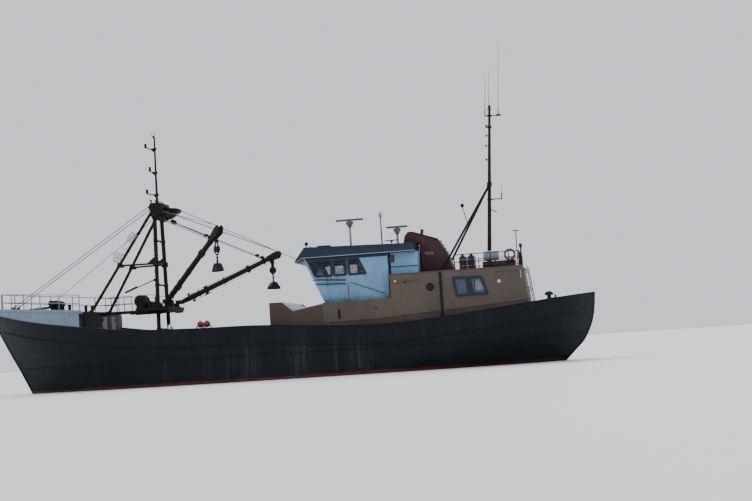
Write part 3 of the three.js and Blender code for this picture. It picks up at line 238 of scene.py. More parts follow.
def casing_paint(name, colour):
    """Brown deckhouse paint: rust under the windows and seams, and grime up from the deck."""
    n = Nodes(name)
    rusty, tone = weather(n, colour, 0.30, 0.5, 1.0)
    # rust that runs down below the double window and the joint in the wall
    under = n.times(n.ramp(n.x, -11.6, -11.3), n.ramp(n.x, -9.9, -9.7, 1, 0), n.ramp(n.z, 3.3, 4.15),
                    n.ramp(n.z, 4.15, 4.2, 1, 0))
    joint = n.ramp(n.math("ABSOLUTE", n.math("ADD", n.x, -CASING_JOINT_X)), 0.02, 0.16, 1, 0)
    runs = n.ramp(n.noise(1, 6, 0.62, (6, 6, 0.5), seed=23), 0.40, 0.62)
    extra = n.times(n.plus(under, n.times(joint, 0.8)), runs, 0.55)
    tone = n.mix(extra, tone, rust_colour(n))
    splash = n.times(n.ramp(n.z, 2.0, 3.2, 1, 0), n.ramp(n.noise(1.4, 5, 0.6, seed=25), 0.35, 0.65), 0.6)
    tone = n.mix(splash, tone, shade(colour, 0.35))
    return n.finish(Base_Color=tone, Specular_IOR_Level=0.28, **skin(n, n.plus(rusty, extra), 0.5, 0.5))


def house_paint(name, colour):
    """Pale wheelhouse paint with a rusty seam down each side and runs below the lights."""
    n = Nodes(name)
    rusty, tone = weather(n, colour, 0.14, 0.42, 1.0)
    seam = n.times(n.ramp(n.math("ABSOLUTE", n.math("ADD", n.x, -HOUSE_SEAM_X)), 0.015, 0.07, 1, 0),
                   n.ramp(n.z, 4.1, 4.6, 0.5, 1), n.ramp(n.z, 5.0, 5.4, 1, 0))
    drips = n.times(n.ramp(n.noise(1, 6, 0.65, (9, 9, 0.5), seed=27), 0.50, 0.68), n.ramp(n.z, 5.05, 5.6),
                    n.ramp(n.z, 5.6, 5.68, 1, 0), 0.55)
    extra = n.plus(n.times(seam, n.ramp(n.noise(6, 5, 0.65, seed=29), 0.3, 0.6)), drips)
    tone = n.mix(extra, tone, rust_colour(n))
    tone = n.mix(n.times(n.ramp(n.z, 4.1, 4.5, 1, 0), n.ramp(n.noise(3, 5, 0.6), 0.35, 0.7), 0.6), tone,
                 GRIME)
    return n.finish(Base_Color=tone, Specular_IOR_Level=0.35, **skin(n, n.plus(rusty, extra), 0.42, 0.4))


def bare_metal(name, colour, rough=0.4, rust=0.3, metallic=0.85):
    """Metal with dull patches and rust."""
    n = Nodes(name)
    rusty = n.ramp(n.noise(4.5, 8, 0.68, seed=5), 0.68 - 0.2 * rust, 0.78 - 0.2 * rust)
    tone = n.mix(n.ramp(n.noise(3, 4), 0.3, 0.7), shade(colour, 0.75), shade(colour, 1.1))
    tone = n.mix(rusty, tone, rust_colour(n))
    roughness = n.plus(n.ramp(n.noise(20, 4), 0.3, 0.7, rough - 0.08, rough + 0.12), n.times(rusty, 0.35))
    fine = n.bump(n.noise(60, 4, 0.6), 0.3, 0.003)
    return n.finish(Base_Color=tone, Roughness=roughness, Normal=fine,
                    Metallic=n.ramp(rusty, 0, 1, metallic, 0.1))


def plastic(name, colour, rough=0.4, dirt=0.2):
    """Smooth paint or plastic with a little dirt in runs."""
    n = Nodes(name)
    tone = n.mix(n.ramp(n.noise(2.2, 4), 0.35, 0.7), colour, shade(colour, 0.82))
    tone = n.mix(n.times(n.ramp(n.noise(1, 5, 0.6, (5, 5, 0.5), seed=4), 0.5, 0.75), dirt), tone, GRIME)
    return n.finish(Base_Color=tone, Roughness=n.ramp(n.noise(15, 3), 0.3, 0.7, rough - 0.07, rough + 0.1),
                    Normal=n.bump(n.noise(80, 3), 0.2, 0.002))


def glass(name):
    """Thin window glass, less clear where salt has dried."""
    n = Nodes(name)
    salt = n.ramp(n.noise(2.5, 6, 0.65), 0.45, 0.75)
    return n.finish(Base_Color=n.mix(salt, (0.018, 0.026, 0.040), (0.10, 0.12, 0.14)),
                    Alpha=n.ramp(salt, 0, 1, 0.30, 0.52), Roughness=n.ramp(salt, 0, 1, 0.05, 0.3))


def rope(name):
    """Worn rope with its strands."""
    n = Nodes(name)
    strand = n.noise(1, 3, 0.6, (60, 8, 60), seed=3)
    tone = n.mix(n.ramp(n.noise(7, 4), 0.35, 0.7), (0.030, 0.028, 0.026), (0.075, 0.068, 0.058))
    tone = n.mix(n.ramp(strand, 0.5, 0.7, 0, 0.5), tone, (0.022, 0.020, 0.018))
    return n.finish(Base_Color=tone, Roughness=n.ramp(strand, 0.3, 0.7, 0.75, 0.95),
                    Normal=n.bump(strand, 0.6, 0.006))


def lifebuoy(name):
    """Dark red ring with four pale bands, told apart by the angle round its centre."""
    n = Nodes(name)
    across = n.math("SUBTRACT", n.x, LIFEBUOY[0])
    up = n.math("SUBTRACT", n.z, LIFEBUOY[1])
    angle = n.math("ARCTAN2", up, across)
    band = n.ramp(n.math("COSINE", n.math("MULTIPLY", angle, 4.0)), 0.72, 0.78)
    tone = n.mix(band, (0.075, 0.015, 0.014), (0.13, 0.13, 0.135))
    tone = n.mix(n.ramp(n.noise(6, 5, 0.6), 0.45, 0.75, 0, 0.35), tone, GRIME)
    return n.finish(Base_Color=tone, Roughness=n.ramp(n.noise(20, 3), 0.3, 0.7, 0.4, 0.6),
                    Normal=n.bump(n.noise(60, 3), 0.2, 0.002))


MAT = {
    "hull": hull_paint("hull_black"),
    "inner_hull": paint("inner_bulwark", (0.020, 0.022, 0.024), rust=0.7, grime=0.4, rough=0.55, gloss=0.2),
    "pale_blue": paint("pale_blue", (0.165, 0.225, 0.305), rust=0.28, grime=0.5),
    "door": paint("door_brown_grey", (0.115, 0.105, 0.095), rust=0.45, grime=0.4),
    "house_blue": house_paint("house_blue", (0.170, 0.320, 0.500)),
    "rail": paint("rail_grey", (0.17, 0.185, 0.20), rust=0.5, grime=0.3),
    "dark": paint("dark_grey", (0.013, 0.014, 0.016), rust=0.34, grime=0.2, rough=0.62, gloss=0.15),
    # dark brown paint, darkened further to near black as painted shade so masts and derricks read as
    # silhouettes against the sky
    "mast": paint("mast_brown_shaded", (0.015, 0.012, 0.0115), rust=0.34, grime=0.2, rough=0.66, gloss=0.12),
    "ochre": casing_paint("ochre_brown", (0.094, 0.071, 0.055)),
    "shelter": paint("shelter_brown", (0.062, 0.042, 0.032), rust=0.6, grime=0.5, gloss=0.25),
    "locker": paint("locker_brown", (0.030, 0.018, 0.014), rust=0.5, grime=0.4, gloss=0.2),
    "navy": paint("navy", (0.0075, 0.0165, 0.043), rust=0.15, grime=0.2, gloss=0.3),
    "maroon": paint("maroon", (0.041, 0.0150, 0.0195), rust=0.3, grime=0.3, gloss=0.2),
    "deck": paint("deck_green", (0.050, 0.062, 0.054), rust=0.55, grime=0.3, rough=0.7, streaks=0.2,
                  gloss=0.2),
    "antifouling": paint("antifouling", BOTTOM_RED, rust=0.3, grime=0.5, rough=0.7, gloss=0.2),
    "steel": bare_metal("dull_steel", (0.17, 0.175, 0.18), rough=0.5, rust=0.5),
    "wire": bare_metal("wire", (0.045, 0.045, 0.048), rough=0.55, rust=0.5, metallic=0.5),
    "bronze": bare_metal("bronze", (0.42, 0.25, 0.09), rough=0.35, rust=0.05),
    "zinc": bare_metal("zinc", (0.40, 0.42, 0.43), rough=0.6, rust=0.1, metallic=0.6),
    "galvanised": bare_metal("galvanised", (0.16, 0.175, 0.19), rough=0.55, rust=0.25, metallic=0.5),
    "white": paint("white_trim", (0.34, 0.38, 0.43), rust=0.2, grime=0.5),
    "lamp": plastic("lamp_glass", (0.62, 0.64, 0.62), rough=0.25, dirt=0.2),
    "rope": rope("rope_winding"),
    "lifebuoy": lifebuoy("lifebuoy_shell"),
    "buoy": plastic("red_buoy", (0.21, 0.022, 0.028), rough=0.5, dirt=0.45),
    "fender": plastic("white_fender", (0.55, 0.55, 0.53), rough=0.45, dirt=0.5),
    "glass": glass("window_glass"),
    "console": plastic("console_plastic", (0.035, 0.037, 0.040)),
    "tinted": plastic("tinted_pane", (0.040, 0.055, 0.095), rough=0.15, dirt=0.4),
    "screen": plastic("screen_glass", (0.010, 0.016, 0.022), rough=0.12, dirt=0.05),
    "raft": plastic("raft_plastic", (0.185, 0.23, 0.275), dirt=0.5),
    "post": paint("pale_post", (0.24, 0.26, 0.29), rust=0.4, grime=0.4),
    "radar": plastic("radar_plastic", (0.060, 0.080, 0.105), dirt=0.3),
}

# CAD nodes with each finish
NODES_WITH = {
    "hull": "hull",
    "pale_blue": "forecastle",
    # the forecastle bulkhead's dark grey is painted shade: its aft face lies in shade beside the pale
    # forecastle side
    "dark": "forecastle_bulkhead windlass rope_drum hatch_coaming hatch_lid winch_frame "
            "mushroom_vent stern_bollards gooseneck_port hoisting_block_port gooseneck_starboard "
            "hoisting_block_starboard",
    "door": "forecastle_door_middle forecastle_door_starboard",
    "rail": "bow_rail boat_deck_rail",
    "mast": "foremast_legs raking_leg_port raking_leg_starboard mast_head topmast mast_platform "
            "aft_mast derrick_port derrick_starboard",
    "wire": "forestay_port forestay_starboard main_stay",
    "shelter": "winch_shelter",
    "steel": "winch_drum",
    "ochre": "casing_port casing_starboard casing_aft casing_door",
    "deck": "wheelhouse_deck boat_deck",
    "glass": "casing_glass_port casing_glass_starboard glass_port glass_starboard glass_front",
    "house_blue": "wheelhouse_port wheelhouse_starboard wheelhouse_front wheelhouse_aft wheelhouse_door "
                  "annex",
    "navy": "wheelhouse_roof",
    "console": "helm_console helm_chair",
    "maroon": "funnel gas_bottles",
    "locker": "boat_deck_locker",
    "raft": "raft_canister",
    "radar": "radar_scanner_forward radar_scanner_aft",
    "antifouling": "rudder",
    "bronze": "propeller",
}
for finish_name, node_names in NODES_WITH.items():
    for node_name in node_names.split():
        node = NODES[node_name]
        node.data.materials.clear()
        node.data.materials.append(MAT[finish_name])


# Closed parts gathered into one mesh
PLANES = {
    # drawing axes of an outline, and the axis it is drawn out along
    "y": (0, 2, 1),
    "x": (1, 2, 0),
    "z": (0, 1, 2),
}


def circle(radius, sides, turn=0.0):
    """Points spread evenly on a circle."""
    angles = [2 * math.pi * i / sides + turn for i in range(sides)]
    return [(radius * math.cos(angle), radius * math.sin(angle)) for angle in angles]


def both_ways(*rows):
    """Profile that is the same on both sides of its middle; rows run from its end to the middle."""
    return [(radius, -height) for radius, height in rows] + [row for row in reversed(rows) if row[1]]


def lifted(outline, level, axis):
    """Points of a flat outline at a level along the axis."""
    first, second, third = PLANES[axis]
    loop = []
    for u, v in outline:
        point = [0.0, 0.0, 0.0]
        point[first], point[second], point[third] = u, v, level
        loop.append(point)
    return loop


def framing(path, closed=False):
    """Two cross directions at each point of a path, turned as little as possible along it."""
    count = len(path)
    runs = []
    for i in range(count):
        before = path[(i - 1) % count] if closed or i else path[i]
        after = path[(i + 1) % count] if closed or i < count - 1 else path[i]
        runs.append((after - before).normalized())
    side = runs[0].orthogonal().normalized()
    if abs(runs[0].z) < 0.9:
        side = runs[0].cross(Vector(UP)).normalized()
    frames = []
    for run in runs:
        side = (side - run * side.dot(run)).normalized()
        frames.append((side, run.cross(side)))
    return frames


def round_edges(piece, width):
    """A bevel on the sharp edges of a piece."""
    rounding = piece.modifiers.new("rounding", "BEVEL")
    rounding.width = width
    rounding.segments = 2
    rounding.limit_method = "ANGLE"
    rounding.angle_limit = math.radians(40)
    return rounding


class Shape:
    def __init__(self):
        self.points = []
        self.faces = []

    def add(self, points, faces):
        start = len(self.points)
        self.points.extend(Vector(p) for p in points)
        self.faces.extend([start + i for i in face] for face in faces)
        return self

    def rings(self, loops, closed=False):
        """Loops of the same length joined into a skin, capped at both ends unless it closes on itself."""
        size = len(loops[0])
        count = len(loops)
        faces = []
        for i in range(count if closed else count - 1):
            a, b = i * size, (i + 1) % count * size
            faces += [(a + j, a + (j + 1) % size, b + (j + 1) % size, b + j) for j in range(size)]
        if not closed:
            faces += [tuple(range(size))[::-1], tuple(range((count - 1) * size, count * size))]
        return self.add([p for loop in loops for p in loop], faces)

    def prism(self, outline, low, high, axis="y"):
        """An outline drawn out from low to high along an axis."""
        return self.rings([lifted(outline, level, axis) for level in (low, high)])

    def plate(self, outline, radius, steps, low, high, axis="y"):
        """A prism whose outline has rounded corners."""
        return self.prism(rounded_outline(outline, radius, steps), low, high, axis)

    def box(self, x0, x1, y0, y1, z0, z1):
        return self.prism([(x0, y0), (x1, y0), (x1, y1), (x0, y1)], z0, z1, "z")

    def sweep(self, section, path, closed=False, scales=None):
        """Section points (across, up) carried along a path."""
        path = [Vector(p) for p in path]
        scales = scales or [1.0] * len(path)
        return self.rings([[p + side * u * scale + up * v * scale for u, v in section]
                           for p, (side, up), scale in zip(path, framing(path, closed), scales)], closed)

    def tube(self, path, radius, sides=10, end_radius=None):
        end_radius = radius if end_radius is None else end_radius
        last = max(len(path) - 1, 1)
        scales = [1 + (end_radius / radius - 1) * i / last for i in range(len(path))]
        return self.sweep(circle(radius, sides), path, scales=scales)

    def rod(self, start, end, radius, sides=12, end_radius=None):
        return self.tube([start, end], radius, sides, end_radius)

    def post(self, x, y, low, high, radius, sides=12, end_radius=None):
        """An upright rod."""
        return self.rod((x, y, low), (x, y, high), radius, sides, end_radius)

    def crossbar(self, x, low, high, z, radius, sides=12):
        """A rod from side to side."""
        return self.rod((x, low, z), (x, high, z), radius, sides)

    def stringer(self, low, high, y, z, radius, sides=12):
        """A rod fore and aft."""
        return self.rod((low, y, z), (high, y, z), radius, sides)

    def ring(self, centre, axis, radius, thickness, sides=20, section=8):
        turn = Vector(axis).to_track_quat("Z", "X")
        path = [Vector(centre) + turn @ Vector((u, v, 0)) for u, v in circle(radius, sides)]
        return self.sweep(circle(thickness, section), path, closed=True)

    def lathe(self, profile, origin, axis=UP, sides=20):
        """Turned form; profile rows are (radius, height) and its two ends are capped."""
        turn = Vector(axis).to_track_quat("Z", "X")
        return self.rings([[Vector(origin) + turn @ Vector((u, v, height))
                            for u, v in circle(max(radius, 0.0005), sides)] for radius, height in profile])

    def bolt(self, radius, height, spot, axis):
        """A hexagon head."""
        return self.lathe([(radius, 0), (radius, height)], spot, axis, 6)

    def ball(self, centre, radius, flat=1.0, sides=16):
        profile = [(radius * math.sin(math.pi * i / 10), -radius * flat * math.cos(math.pi * i / 10))
                   for i in range(11)]
        return self.lathe(profile, centre, sides=sides)

    def mirrored(self):
        """The same parts again on the other side of the centreline."""
        other = Shape()
        other.add([(p.x, -p.y, p.z) for p in self.points], [face[::-1] for face in self.faces])
        return other

    def join(self, other):
        return self.add(other.points, other.faces)

    def moved(self, matrix):
        other = Shape()
        return other.add([matrix @ p for p in self.points], self.faces)

    def make(self, name, finish, body="vessel", bevel=0.0, smooth=35, stands_for=()):
        mesh = bpy.data.meshes.new(name)
        mesh.from_pydata([tuple(p) for p in self.points], [], self.faces)
        sketch = bmesh.new()
        sketch.from_mesh(mesh)
        bmesh.ops.recalc_face_normals(sketch, faces=sketch.faces)
        sketch.to_mesh(mesh)
        sketch.free()
        mesh.materials.append(MAT[finish])
        piece = bpy.data.objects.new(name, mesh)
        bpy.context.scene.collection.objects.link(piece)
        if bevel:
            round_edges(piece, bevel)
        mesh.shade_smooth()
        mesh.set_sharp_from_angle(angle=math.radians(smooth))
        if body:
            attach(piece, body)
        if stands_for:
            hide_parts(*stands_for)
        return piece


def offset_outline(points, distance):
    """A flat outline moved outward by a distance, corner by corner."""
    area = sum(a[0] * b[1] - b[0] * a[1] for a, b in zip(points, points[1:] + points[:1]))
    sign = 1 if area > 0 else -1
    moved = []
    for i, corner in enumerate(points):
        here = Vector(corner)
        before = (here - Vector(points[i - 1])).normalized()
        after = (Vector(points[(i + 1) % len(points)]) - here).normalized()
        normals = [Vector((v.y, -v.x)) * sign for v in (before, after)]
        half = (normals[0] + normals[1]).normalized()
        moved.append(tuple(here + half * distance / max(half.dot(normals[0]), 0.3)))
    return moved


def rounded_outline(points, radius, steps=4):
    """A flat outline whose corners are rounded off."""
    smooth = []
    for i, corner in enumerate(points):
        here = Vector(corner)
        to_before = Vector(points[i - 1]) - here
        to_after = Vector(points[(i + 1) % len(points)]) - here
        reach = min(radius, to_before.length * 0.45, to_after.length * 0.45)
        start = here + to_before.normalized() * reach
        end = here + to_after.normalized() * reach
        for k in range(steps + 1):
            t = k / steps
            smooth.append(tuple(start * (1 - t) ** 2 + here * 2 * t * (1 - t) + end * t * t))
    return smooth


def window_frame(shape, corners, low, high, axis="y", width=0.06, lip=0.015, radius=0.07):
    """A rounded frame round a cut-out, from low to high along the axis."""
    outer = rounded_outline(offset_outline(corners, width), radius + width * 0.5)
    inner = rounded_outline(offset_outline(corners, -lip), radius)
    corners_of_section = ((outer, low), (outer, high), (inner, high), (inner, low))
    return shape.rings([lifted(outline, level, axis) for outline, level in corners_of_section], closed=True)


# Hull lines, the same as in the CAD source, in metres
STERN_X = -17.29
BOW_TOP_X = 18.65
KNUCKLE_Z = 1.45
DRAUGHT = 3.15
WIDEST_X = 0.8
HALF_BEAM = 3.85
BULWARK = 0.95
FORECASTLE_X = 11.62
SHEER = [
    (STERN_X, 3.73), (-13.5, 3.31), (-9.4, 2.88), (-5.5, 2.65), (-2.0, 2.82), (1.5, 3.05),
    (5.0, 3.11), (9.2, 3.30), (12.0, 3.69), (14.3, 4.03), (16.3, 4.41), (BOW_TOP_X, 4.94),
]
LEVELS = [
    # height, or share of the way from the knuckle to the sheer; stern x; stern and bow fullness
    (-3.15, -12.65, 3.0, 1.8), (-3.0, -12.63, 2.0, 1.8), (-2.75, -12.61, 1.8, 1.8),
    (-2.35, -12.6, 1.8, 1.9), (-1.8, -12.58, 1.9, 2.0), (-1.1, -12.6, 2.1, 2.1),
    (-0.6, -12.8, 2.4, 2.2), (-0.35, -13.9, 2.6, 2.3), (0.25, -15.5, 3.2, 2.5),
    (0.9, -16.35, 5.0, 2.8), (KNUCKLE_Z, -16.75, 6.5, 3.2),
    (0.35, -17.08, 7.5, 3.8), (0.7, -17.23, 8.2, 4.4), (1.0, STERN_X, 9.0, 5.0),
]
KNUCKLE_LEVEL = 10
TOP_LEVEL = len(LEVELS) - 1


def along(rows, x):
    """A value read smoothly from rows of (x, value)."""
    last = len(rows) - 1
    if x <= rows[0][0]:
        return rows[0][1]
    if x >= rows[last][0]:
        return rows[last][1]
    i = next(k for k in range(last) if rows[k + 1][0] > x)

    def slope(a, b):
        return (rows[b][1] - rows[a][1]) / (rows[b][0] - rows[a][0])

    step = rows[i + 1][0] - rows[i][0]
    t = (x - rows[i][0]) / step
    start = slope(max(i - 1, 0), i + 1) * step
    end = slope(i, min(i + 2, last)) * step
    return (rows[i][1] * (2 * t ** 3 - 3 * t ** 2 + 1) + start * (t ** 3 - 2 * t ** 2 + t)
            + rows[i + 1][1] * (3 * t ** 2 - 2 * t ** 3) + end * (t ** 3 - t ** 2))


def sheer(x):
    return along(SHEER, x)


def deck_z(x):
    return sheer(x) - BULWARK


def bow_x(z):
    """X of the stem at a height."""
    depth = min(max(-z / DRAUGHT, 0), 1)
    return 16.15 + 0.5 * z - 3.2 * (1 - math.sqrt(1 - depth ** 2))


def half_breadth(x, z, stern_x, stem_x, stern_full, bow_full):
    """Half breadth between the two ends of a level."""
    depth = min(max(-z / DRAUGHT, 0), 1)
    end, full = (stem_x, bow_full) if x > WIDEST_X else (stern_x, stern_full)
    t = min(max((x - WIDEST_X) / (end - WIDEST_X), 0), 1)
    return HALF_BEAM * (1 - depth ** 4) ** 0.8 * (1 - t ** full)


# Rows of (level, value), read for levels that need not be whole
STERN_ROWS = [[(i, row[column]) for i, row in enumerate(LEVELS)] for column in (1, 2, 3)]
HEIGHTS = [(i, row[0]) for i, row in enumerate(LEVELS) if i <= KNUCKLE_LEVEL]
RISES = [(KNUCKLE_LEVEL, 0.0)] + [(i, row[0]) for i, row in enumerate(LEVELS) if i > KNUCKLE_LEVEL]
LEVEL_AT = [(z, i) for i, z in HEIGHTS]


def level_rows(level):
    """Stern x, stern fullness and bow fullness at a level."""
    return [along(rows, level) for rows in STERN_ROWS]


def rise_of(level):
    """Share of the way from the knuckle up to the sheer."""
    return along(RISES, level)


def hull_point(u, side, level):
    """A point of the shell at a share of the length, on one side, at a level."""
    stern_x, stern_full, bow_full = level_rows(level)
    upper = level >= KNUCKLE_LEVEL
    bow_z = KNUCKLE_Z + rise_of(level) * (sheer(BOW_TOP_X) - KNUCKLE_Z) if upper else along(HEIGHTS, level)
    stem_x = bow_x(bow_z)
    even = 0.45 * u + 0.55 * (1 - math.cos(math.pi * u)) / 2
    x = stern_x + (stem_x - stern_x) * even
    z = KNUCKLE_Z + rise_of(level) * (sheer(x) - KNUCKLE_Z) if upper else bow_z
    y = max(half_breadth(x, z, stern_x, stem_x, stern_full, bow_full), 0.07)
    return Vector((x, side * y, z))


def side_half(x, share):
    """Half breadth at a share of the height from the knuckle up to the sheer."""
    level = next((k for k in (KNUCKLE_LEVEL, KNUCKLE_LEVEL + 1, KNUCKLE_LEVEL + 2)
                  if rise_of(k + 1) >= share), TOP_LEVEL - 1)
    level += (share - rise_of(level)) / (rise_of(level + 1) - rise_of(level))
    stern_x, stern_full, bow_full = level_rows(level)
    stem_x = bow_x(KNUCKLE_Z + share * (sheer(BOW_TOP_X) - KNUCKLE_Z))
    return half_breadth(x, 0, stern_x, stem_x, stern_full, bow_full)


def top_half(x):
    return side_half(x, 1.0)


def skin_at(x, z):
    """Half breadth of the hull's side at x and a height."""
    if z >= KNUCKLE_Z:
        return side_half(x, (z - KNUCKLE_Z) / (sheer(x) - KNUCKLE_Z))
    level = along(LEVEL_AT, z)
    stern_x, stern_full, bow_full = level_rows(level)
    return half_breadth(x, z, stern_x, bow_x(z), stern_full, bow_full)


def eased(u):
    """Share from 0 to 1 with closer steps towards both ends."""
    return 0.5 * u + 0.25 * (1 - math.cos(math.pi * u))


def round_the_end(path):
    """A path on the port side carried on along the starboard side."""
    return path + [Vector((p.x, -p.y, p.z)) for p in reversed(path[:-1])]


def lay_paint(name, stations, half, height):
    """A thin sheet of deck paint from side to side."""
    loops = []
    for x in stations:
        y, z = half(x), height(x) + 0.004
        loops.append([(x, y, z), (x, -y, z), (x, -y, z - 0.02), (x, y, z - 0.02)])
    Shape().rings(loops).make(name, "deck")


def plate_on_side(shape, side, x0, x1, z0, z1, thick, lift=0.0, steps=4):
    """A plate that follows the hull's side, from x0 to x1 and z0 to z1."""
    loops = []
    for i in range(steps + 1):
        x = x0 + (x1 - x0) * i / steps
        heights = [z0 + (z1 - z0) * j / 3 for j in range(4)]
        inside = [(x, side * (skin_at(x, z) + lift), z) for z in heights]
        outside = [(x, side * (skin_at(x, z) + lift + thick), z) for z in reversed(heights)]
        loops.append(inside + outside)
    return shape.rings(loops)


def shell_grid(stations, levels, place):
    """A closed skin from a function of (share along, side, share up)."""
    shape = Shape()
    loops = []
    for i in range(stations + 1):
        u = i / stations
        port = [place(u, 1, j / levels) for j in range(levels + 1)]
        starboard = [place(u, -1, j / levels) for j in range(levels, -1, -1)]
        loops.append(port + starboard)
    return shape.rings(loops)


def carve(target, cutters):
    """Cuts the cutters out of a piece and keeps the finished mesh."""
    for cutter in cutters:
        tool = cutter.make("cutter", "hull", body=None)
        change = target.modifiers.new("cut", "BOOLEAN")
        change.operation = "DIFFERENCE"
        change.solver = "EXACT"
        change.object = tool
        bpy.context.view_layer.update()
        finished = bpy.data.meshes.new_from_object(
            target.evaluated_get(bpy.context.evaluated_depsgraph_get()))
        target.modifiers.clear()
        target.data = finished
        bpy.data.objects.remove(tool)


SIDE_PLATE = 0.11
FREEING_PORTS = [-12.2, -9.6, -7.0, -4.4, -1.6, 1.2, 3.4, 5.6, 8.6]
PORT_LENGTH = 0.95
PORT_HEIGHT = 0.30


def make_hull():
    shell = shell_grid(170, 60, lambda u, side, v: hull_point(u, side, v * TOP_LEVEL))

    def well_point(u, side, v):
        x = STERN_X + 0.13 + (FORECASTLE_X - STERN_X - 0.13) * eased(u)
        top = top_half(x) - SIDE_PLATE
        low = skin_at(x, deck_z(x)) - SIDE_PLATE
        y = low + (top - low) * v if v < 1 else top + (top - low) / BULWARK * 0.2
        z = deck_z(x) + BULWARK * v if v < 1 else sheer(x) + 0.2
        return Vector((x, side * max(y, 0.04), z))

    hull = shell.make("hull_shell", "hull", stands_for=["hull"])
    carve(hull, [shell_grid(90, 6, well_point)])
    hull.data.materials.clear()
    hull.data.materials.append(MAT["hull"])
    hull.data.materials.append(MAT["inner_hull"])
    for face in hull.data.polygons:
        centre = face.center
        inboard = face.normal.y * centre.y < 0 or (centre.x < STERN_X + 0.4 and face.normal.x > 0.3)
        if deck_z(centre.x) - 0.05 < centre.z and (inboard or face.normal.z > 0.9):
            face.material_index = 1
    hull.data.shade_smooth()
    hull.data.set_sharp_from_angle(angle=math.radians(32))

    first, last = STERN_X + 0.22, FORECASTLE_X - 0.02
    lay_paint("working_deck_paint", [first + (last - first) * i / 60 for i in range(61)],
              lambda x: skin_at(x, deck_z(x)) - 0.115, deck_z)

    gear = Shape()
    gear.prism([(-14.45, -3.21), (-12.4, -3.21), (-12.2, -2.95), (-12.5, -2.9), (-13.0, -3.0),
                (-14.45, -3.0)], -0.11, 0.11)
    gear.lathe([(0.20, -3.21), (0.20, -3.0)], (-14.35, 0, 0))
    gear.lathe([(0.23, 0), (0.23, 0.05), (0.34, 0.6), (0.30, 1.2)], (-12.98, 0, -1.95), ALONG)
    gear.lathe([(0.16, -0.9), (0.16, -0.3)], (-14.35, 0, 0))
    gear.make("stern_frame", "antifouling", bevel=0.015)

    # hinged flaps over the freeing ports, bulwark stays and the rail cap
    trim = Shape()
    flaps = Shape()
    for side in SIDES:
        for x in FREEING_PORTS:
            low = deck_z(x) + 0.05
            high = low + PORT_HEIGHT
            plate_on_side(flaps, side, x - PORT_LENGTH / 2, x + PORT_LENGTH / 2, low, high, 0.016)
            for k in (-0.3, 0.3):
                y = side * (skin_at(x + k, high) + 0.022)
                flaps.stringer(x + k - 0.06, x + k + 0.06, y, high + 0.01, 0.018, 8)
                plate_on_side(flaps, side, x + k - 0.02, x + k + 0.02, high - 0.16, high + 0.01, 0.012,
                              0.016, 1)
            y = side * (skin_at(x, low + 0.15) - 0.10)
            trim.rings([[(end, y, low), (end, y - side * 0.02, low), (end, y - side * 0.02, high),
                         (end, y, high)]
                        for end in (x - PORT_LENGTH / 2, x + PORT_LENGTH / 2)])
        for i in range(33):
            x = -16.0 + i * 0.86
            if x > FORECASTLE_X - 0.3:
                continue
            top = top_half(x) - 0.10
            low = skin_at(x, deck_z(x)) - 0.10
            z0 = deck_z(x)
            trim.rings([[(x + dx, side * low, z0), (x + dx, side * (low - 0.24), z0),
                         (x + dx, side * (top - 0.10), sheer(x) - 0.06),
                         (x + dx, side * top, sheer(x) - 0.02)]
                        for dx in (-0.012, 0.012)])
    flaps.make("freeing_port_flaps", "hull", bevel=0.003)
    trim.make("bulwark_stays", "inner_hull", smooth=30)

    cap = Shape()
    section = rounded_outline([(-0.085, -0.025), (0.085, -0.025), (0.085, 0.03), (-0.085, 0.03)], 0.02, 2)
    stations = [FORECASTLE_X - (FORECASTLE_X - STERN_X - 0.06) * eased(i / 90) for i in range(91)]
    path = [Vector((x, max(top_half(x) - 0.055, 0), sheer(x) + 0.012)) for x in stations]
    cap.sweep(section, round_the_end(path))
    cap.make("bulwark_cap", "hull", smooth=50)

    guard = Shape()
    for side in SIDES:
        for first, last, lift in ((-16.2, 17.6, -0.98), (-16.7, 16.8, None)):
            stretch = []
            for i in range(101):
                x = first + (last - first) * i / 100
                z = KNUCKLE_Z if lift is None else max(sheer(x) + lift, KNUCKLE_Z + 0.02)
                stretch.append(Vector((x, side * (skin_at(x, z) + 0.004), z)))
            guard.sweep(circle(0.05, 12), stretch)
    guard.make("rubbing_bars", "hull", smooth=60)


make_hull()


# Below the waterline: bilge keels, zinc anodes and the sea inlet gratings
def make_bottom_gear():
    keels = Shape()
    for side in SIDES:
        loops = []
        for i in range(41):
            share = i / 40
            x = -6.5 + 12.5 * share
            z = -2.05
            y = skin_at(x, z)
            reach = 0.24 * min(1, share * 8, (1 - share) * 8) + 0.01
            tip = (x, side * (y + reach * 0.75), z - reach * 0.72)
            loops.append([(x, side * (y - 0.05), z + 0.03), (tip[0], tip[1], tip[2] + 0.012),
                          (tip[0], tip[1], tip[2] - 0.012), (x, side * (y - 0.05), z - 0.05)])
        keels.rings(loops)
    keels.make("bilge_keels", "antifouling", smooth=30)
    anodes = Shape()
    for side in SIDES:
        for x, z in ((-11.6, -1.5), (-10.6, -1.9), (-9.4, -1.2), (-4.0, -1.7), (2.0, -1.7), (8.0, -1.5),
                     (12.2, -1.0)):
            plate_on_side(anodes, side, x - 0.2, x + 0.2, z - 0.05, z + 0.05, 0.035)
            for end in (-1, 1):
                plate_on_side(anodes, side, x + end * 0.2 - 0.06, x + end * 0.2 + 0.06, z - 0.012,
                              z + 0.012, 0.01)
    anodes.make("zinc_anodes", "zinc", bevel=0.008)
    gratings = Shape()
    for side in SIDES:
        for x in (-7.4, -6.3):
            for k in range(6):
                plate_on_side(gratings, side, x - 0.22, x + 0.22, -1.30 + k * 0.07, -1.265 + k * 0.07, 0.02)
            for end in (-1, 1):
                plate_on_side(gratings, side, x + end * 0.22 - 0.03, x + end * 0.22 + 0.03, -1.33, -0.89,
                              0.024)
    gratings.make("sea_inlet_gratings", "antifouling", bevel=0.004)


make_bottom_gear()


# Forecastle: pale side above the black bulwark, with its deck edge
def forecastle_z(x):
    return 4.53 + (x - 11.8) * 0.086


